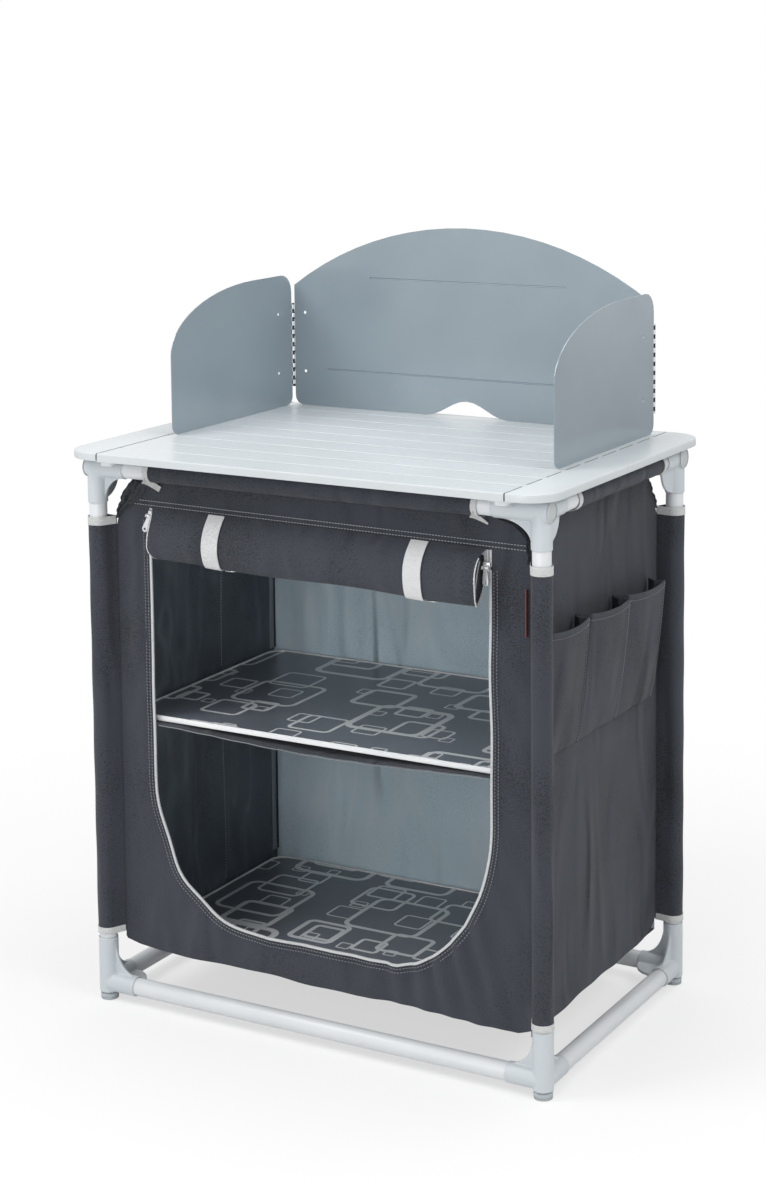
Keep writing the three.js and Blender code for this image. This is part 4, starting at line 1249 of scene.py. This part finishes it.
board_edge = coated("board_edge", "D9DCDE", "F2F3F4", 0.25, 400, 0.00002, 0.15, (0.1, 0.1, 1))
for cad_name, name, body, shift in (
    ("shelf_board_middle", "printed_board_middle", "shelf_middle", (0.0, 0.0)),
    ("shelf_board_bottom", "printed_board_bottom", "shelf_bottom", (3.37, 1.71)),
):
    low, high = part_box(cad_name)
    board = block((low + high) / 2, high - low)
    settled(board)
    edit_edges(board, lambda middle, along: abs(along.z) > 0.9)
    bpy.ops.mesh.bevel(offset=0.026, segments=12)
    edit_faces(board, lambda middle, normal: abs(normal.z) > 0.9)
    bpy.ops.mesh.bevel(offset=0.0008, segments=2)
    edit_faces(board, lambda middle, normal: normal.z > 0.95)
    bpy.ops.mesh.inset(thickness=0.0026)
    leave_edit()
    finished(board, name, 25)
    board.data.materials.append(printed_board(name, shift))
    board.data.materials.append(board_edge)
    for face in board.data.polygons:
        face.material_index = 0 if abs(face.normal.z) > 0.95 and face.area > 0.1 else 1
    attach(board, body)
    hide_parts(cad_name)

    trim = None
    for inset in (0.0002, 0.0016):
        ring = block(
            ((low.x + high.x) / 2, (low.y + high.y) / 2, high.z + 0.0008),
            (high.x - low.x - 2 * inset, high.y - low.y - 2 * inset, 0.0018 if trim is None else 0.01),
        )
        settled(ring)
        edit_edges(ring, lambda middle, along: abs(along.z) > 0.9)
        bpy.ops.mesh.bevel(offset=0.026 - inset, segments=12)
        leave_edit()
        if trim is None:
            trim = ring
        else:
            cut(trim, ring)
    dressed(trim, f"silver_rim_{cad_name[12:]}", board_edge, body=body, angle=25)

# Rolled-up door
# The door's cloth, 509 mm wide, sewn to the wall above the opening and rolled up from its lower
# end into four and a half flat turns; its outer turn covers the roll from the seam.
ROLL_LEFT = -0.2530
ROLL_RIGHT = 0.2560
ROLL_TURNS = 4.5


def roll_base(x, turn):
    """The rolled door's section at x, as (y, z); turn 0 is at the seam, 0.25 in front, 0.5 below."""
    share = (x - ROLL_LEFT) / (ROLL_RIGHT - ROLL_LEFT)
    bottom = 0.6520 - 0.0100 * share + 0.0014 * math.sin(x * 23)
    tie = max(hump(x + 0.147, 0.045), hump(x - 0.166, 0.045))
    front = -0.2290 + 0.0018 * tie + 0.0012 * math.sin(x * 19 + 1) - 0.0006 * math.sin(x * 53)
    if turn < 0.25:
        t = max(0.0, turn) / 0.25
        stops = (
            (-0.2022, 0.7208 - 0.006 * share),
            (-0.2105, 0.7115 - 0.004 * share),
            (front, 0.6970),
            (front, 0.6730),
        )
        weights = ((1 - t) ** 3, 3 * t * (1 - t) ** 2, 3 * t * t * (1 - t), t**3)
        return tuple(sum(w * stop[i] for w, stop in zip(weights, stops)) for i in (0, 1))
    if turn < 0.5:
        angle = 2 * math.pi * turn
        return (-0.2205 - (-0.2205 - front) * math.sin(angle), 0.6730 + (0.6730 - bottom) * math.cos(angle))
    tight = 0.0033 * (turn - 0.5)
    middle = (0.7070 + bottom) / 2
    half = (0.7070 - bottom) / 2 - tight
    angle = 2 * math.pi * turn
    rise = half * math.cos(angle)
    return (-0.2120 - (0.0150 - tight) * math.sin(angle) + 0.30 * rise, middle + rise)


def roll_point(x, turn, grow=0.0):
    """A point of the rolled door, or one that far outside its cloth."""
    y, z = roll_base(x, turn)
    before = roll_base(x, turn - 0.004)
    after = roll_base(x, turn + 0.004)
    way = Vector((after[0] - before[0], after[1] - before[1])).normalized()
    return (x, y + grow * way.y, z - grow * way.x)


def roll_ends(turn):
    """Where a turn's two ends are: drawn out to the zips near the seam, slanting in below at the
    left, and bulging in front at the right."""
    slant = min(1.0, max(0.0, (turn - 0.28) / 0.22)) ** 1.5
    left = ROLL_LEFT - 0.0085 * max(0.0, 1 - turn / 0.17) ** 2 + 0.0150 * slant
    return left, ROLL_RIGHT + 0.0065 * max(0.0, 1 - turn / 0.15) ** 2 + 0.0012 * hump(turn % 1 - 0.28, 0.24)


def roll_place(across, up):
    turn = ROLL_TURNS * (1 - up)
    left, right = roll_ends(turn)
    return roll_point(left + (right - left) * across, turn)


roll = cloth_grid(72, 190, roll_place)
modifier(roll, "SOLIDIFY", thickness=0.0010, offset=-1)
dressed(roll, "rolled_door", outer_cloth, angle=60, stands_for="door_roll")

# Straps
# Two loops of 26 mm light grey webbing, sewn on above the opening, that hold the rolled door; each
# ends in a small steel ring behind the roll.
webbing = woven("webbing", "BDBEC0", "D2D3D4", 0.0016, 0.0005, 0.7, 0.2)
ring_steel = coated("ring_steel", "A9ABAD", "C4C6C8", 0.25, 700, 0.00001, 0.9)
for side, top_x, slant in (("left", -0.1520, 0.0060), ("right", 0.1655, 0.0020)):

    def strap_place(across, down):
        turn = 0.015 + down * 0.60
        x = top_x + (across - 0.5) * 0.026 + slant * min(1.0, turn / 0.45)
        return roll_point(x, turn, 0.0011)

    strap = cloth_grid(8, 70, lambda across, up: strap_place(across, 1 - up))
    modifier(strap, "SOLIDIFY", thickness=0.0012, offset=1)
    dressed(strap, f"webbing_strap_{side}", webbing, angle=60, stands_for=f"strap_{side}")
    ring_x = top_x + slant + 0.021
    bpy.ops.mesh.primitive_torus_add(
        major_radius=0.0075,
        minor_radius=0.0011,
        major_segments=32,
        minor_segments=10,
        location=(ring_x, -0.2115, roll_point(ring_x, 0.5)[2] - 0.0021),
    )
    ring = bpy.context.object
    ring.scale = (1.25, 0.8, 1)
    dressed(ring, f"strap_ring_{side}", ring_steel, angle=60)

# Zips
# A light coil zip round the door opening: one half along the opening's edge, the other along the
# rolled door's edges, joined for the last stretch above each slider.
zip_tape = woven("zip_tape", "ADAFB0", "C6C8C9", 0.0008, 0.0002, 0.6, 0.2)


def swept(name, path, outwards, section, finish):
    """A strip along a path: each corner of the section is (aside, forward) from it."""
    count = len(path) - 1

    def place(along, around):
        i = min(count, round(along * count))
        aside, forward = section[min(len(section) - 1, round(around * (len(section) - 1)))]
        return Vector(path[i]) + outwards[i] * aside + Vector((0, -forward, 0))

    strip = cloth_grid(count, len(section) - 1, place)
    edit_all(strip)
    bpy.ops.mesh.remove_doubles(threshold=0.00001)
    close_open_ends()
    dressed(strip, name, finish, angle=50)


edge_path = [point for point in opening_path() if point.z < 0.690]
edge_path = [Vector((-DOOR_HALF_WIDTH, 0, 0.700)), *edge_path, Vector((DOOR_HALF_WIDTH, 0, 0.686))]
for point in edge_path:
    point.y = -0.2003 - front_relief(point.x, point.z)
edge_side = []
for i, point in enumerate(edge_path):
    ahead = edge_path[min(i + 1, len(edge_path) - 1)] - edge_path[max(i - 1, 0)]
    edge_side.append(Vector((-ahead.z, 0, ahead.x)).normalized() * -1)
zip_section = [
    (-0.0014, -0.0004),
    (-0.0014, 0.0008),
    (0.0006, 0.0012),
    (0.0020, 0.0008),
    (0.0020, -0.0014),
    (-0.0014, -0.0014),
    (-0.0014, -0.0004),
]
swept("zip_edge", edge_path, edge_side, [(-a, f) for a, f in zip_section], zip_tape)
for side, side_x, top, bottom in (("left", -1, 0.7185, 0.7085), ("right", 1, 0.7125, 0.6905)):
    x = side_x * 0.2630
    wide = 1.0 if side == "left" else 1.45
    for offset, width, raise_by in (
        (-0.0028 * wide, 0.0021 * wide, 0.0004),
        (0.0, 0.0024, 0.0014),
        (0.0028 * wide, 0.0021 * wide, 0.0004),
    ):
        path = [Vector((x + offset, -0.2004, top + (bottom - top) * i / 16)) for i in range(17)]
        half = width / 2
        section = [
            (-half, -0.0006),
            (-half, raise_by),
            (0, raise_by + 0.0005),
            (half, raise_by),
            (half, -0.0006),
            (-half, -0.0006),
        ]
        swept(
            f"zip_stub_{side}_{int((offset + 0.01) * 10000)}",
            path,
            [Vector((1, 0, 0))] * 17,
            section,
            zip_tape,
        )
for side, first, last in (("left", 0.04, 0.56), ("right", 0.10, 0.66), ("right_inner", 1.10, 1.50)):

    def tape_place(across, up):
        turn = last + (first - last) * up
        edge = roll_ends(turn)[0] - 0.0006 if side == "left" else roll_ends(turn)[1] + 0.0006
        return roll_point(edge + (across - 0.5) * 0.0020, turn, -0.0005)

    band = cloth_grid(3, 60, tape_place)
    modifier(band, "SOLIDIFY", thickness=0.0009, offset=0)
    dressed(band, f"door_tape_{side}", zip_tape, angle=60)

# Zip sliders and pulls
# Die-cast, nickel-bright: a shield with a bridge and a channel behind it for the teeth, and a
# tapered pull with a round hole that hangs from a small eye.
slider_metal = coated("slider_metal", "D2D4D6", "E6E8E9", 0.25, 900, 0.00001, 0.4)
for side in ("left", "right"):
    for cad_name, body in ((f"zip_slider_{side}", f"slider_{side}"), (f"zip_pull_{side}", f"pull_{side}")):
        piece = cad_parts[cad_name]
        made = placed("metal", piece.data.copy())
        made.data.materials.clear()
        edit_all(made)
        bpy.ops.mesh.remove_doubles(threshold=0.00001)
        bpy.ops.mesh.dissolve_limited(angle_limit=math.radians(2))
        leave_edit()
        if body.startswith("slider"):
            low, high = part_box(cad_name)
            for wide, deep in ((0.024, 0.0016), (0.0046, 0.0028)):
                channel = block(
                    ((low.x + high.x) / 2, high.y - deep / 2 + 0.0005, (low.z + high.z) / 2),
                    (wide, deep + 0.001, 0.03),
                )
                bpy.context.view_layer.update()
                cut(made, channel)
        modifier(
            made, "BEVEL", width=0.0003, segments=2, limit_method="ANGLE", angle_limit=math.radians(40)
        )
        dressed(made, f"bright_{cad_name}", slider_metal, body=body, angle=40, stands_for=cad_name)

# Side pockets
# Three open pockets in a row, 116 mm wide and 174 mm high, sewn to the right wall along their
# sides and bottoms and standing open at their hemmed upper edges.
POCKET_WALL_X = 0.3262
POCKET_FLOOR = 0.4330
POCKET_HEIGHT = 0.1730
pocket_spans = [(-0.1860, -0.0720, 0.0215), (-0.0690, 0.0470, 0.0270), (0.0500, 0.1680, 0.0260)]
for number, (start, end, bulge) in enumerate(pocket_spans, 1):

    def pocket_place(along, up):
        z = POCKET_FLOOR + POCKET_HEIGHT * up
        full = up**0.62
        near = POCKET_WALL_X + 0.0170 * full
        far = POCKET_WALL_X + bulge * full
        tuck = 0.010 * full
        stops = [
            (0.0, (POCKET_WALL_X, start)),
            (0.09, ((POCKET_WALL_X + near) / 2, start + 0.6 * tuck)),
            (0.18, (near, start + 0.9 * tuck)),
        ]
        stops += [
            (0.84, (far, end - 0.004 * full)),
            (0.92, ((POCKET_WALL_X + far) / 2, end - 1.2 * tuck)),
            (1.0, (POCKET_WALL_X, end)),
        ]
        x = between(along, [(at, point[0]) for at, point in stops])
        y = between(along, [(at, point[1]) for at, point in stops])
        if 0.18 < along < 0.84:
            share = (along - 0.18) / 0.66
            swell = 0.0040 * math.sin(math.pi * share) * full
            swell += 0.0014 * math.sin(share * 9 + up * 7) * math.sin(math.pi * share) * (1 - up * 0.6)
            x += swell
            z -= 0.0040 * math.sin(math.pi * share) * up
        return (x, y, z)

    pocket = cloth_grid(60, 30, pocket_place)
    modifier(pocket, "SOLIDIFY", thickness=0.0010, offset=-1)
    finished(pocket, f"side_pocket_{number}", 50)
    pocket.data.materials.append(outer_cloth)
    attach(pocket, "frame_and_cupboard")
    if number == 1:
        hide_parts("side_pockets")

    def hem_place(along, up):
        return Vector(pocket_place(along, 0.955 + 0.047 * up)) + Vector((0.0006, 0, 0))

    hem = cloth_grid(60, 3, hem_place)
    modifier(hem, "SOLIDIFY", thickness=0.0007, offset=0)
    dressed(hem, f"pocket_hem_{number}", outer_cloth, angle=50)
    rim = [Vector(pocket_place(0.10 + 0.74 * i / 40, 0.95)) + Vector((0.0013, 0, 0)) for i in range(41)]
    sewn(f"pocket_hem_stitches_{number}", rim)
    seam = [
        Vector(pocket_place(0.838, 0.02 + 0.96 * i / 40)) + Vector((0.0006, 0.0002, 0)) for i in range(41)
    ]
    sewn(f"pocket_side_stitches_{number}", seam, gap=0.0044, length=0.0024)

# Seams
# Rows of grey stitches: two across the front above the door, two beside the zip all round the
# opening, and two down the inside of the left wall, one on the pale band of the back corner,
# which has a covered zip beside it. The sling's front hem is piped.
for row, height in enumerate((0.7288, 0.7228)):
    points = [
        Vector((-0.300 + 0.617 * i / 60, -0.2011 if i < 56 else -0.2014, height - 0.0062 * i / 60))
        for i in range(61)
    ]
    sewn(f"front_seam_{row}", points, pale_thread)
for row, away in enumerate((0.0048, 0.0098)):
    points = [point + side * away + Vector((0, -0.0010, 0)) for point, side in zip(edge_path, edge_side)]
    sewn(f"opening_seam_{row}", points)
for name, y in (("side_inner_seam", 0.050), ("corner_inner_seam", 0.1905)):
    for level, (low, high) in (("lower", (0.098, 0.405)), ("upper", (0.428, 0.690))):
        run = [low + (high - low) * i / 40 for i in range(41)]
        points = [Vector((-(WALL_X - WALL_THICKNESS + side_relief(-1, y, z)) + 0.0009, y, z)) for z in run]
        over_band = Vector((0.0016 if y > 0.1 else 0.0, 0, 0))
        sewn(f"{name}_{level}", [point + over_band for point in points], pale_thread)
seam_band = woven("seam_band", "86939D", "9AA6AF", 0.0011, 0.0001, 0.45, 0.15)
for level, (low, high) in (("lower", (0.098, 0.405)), ("upper", (0.4215, 0.690))):
    for name, y, width, out, finish in (
        ("corner_band", 0.1905, 0.0105, 0.0012, seam_band),
        ("corner_zip", 0.1972, 0.0026, 0.0030, elastic_cloth),
    ):

        def strip_place(across, up):
            z = low + (high - low) * up
            return (-(WALL_X - WALL_THICKNESS + side_relief(-1, y, z)) + out, y + (across - 0.5) * width, z)

        strip = cloth_grid(3, 30, strip_place)
        modifier(strip, "SOLIDIFY", thickness=0.0010, offset=0)
        dressed(strip, f"{name}_{level}", finish, angle=50)
piping = []
for i in range(61):
    x = -0.262 + 0.524 * i / 60
    droop = 0.009 * math.cos(math.pi * x / 0.644) ** 2
    piping.append(Vector((x, -0.1968, 0.4096 - droop - abs(0.0008 * math.sin(x * 55)))))
piping_section = [
    (-0.0007, -0.0007), (-0.0007, 0.0007), (0.0007, 0.0007), (0.0007, -0.0007), (-0.0007, -0.0007)
]
swept("sling_piping", piping, [Vector((0, 0, 1))] * 61, piping_section, thread)

# Label
# A plain red-brown woven tab, 62 mm high, sewn flat into the right front seam.
label_weave = woven("label_weave", "6A3533", "7C403C", 0.0008, 0.0002, 0.7, 0.1)
label = block((0.3196, -0.2030, 0.636), (0.0014, 0.0056, 0.062))
modifier(label, "BEVEL", width=0.0003, segments=2)
dressed(label, "seam_label", label_weave)
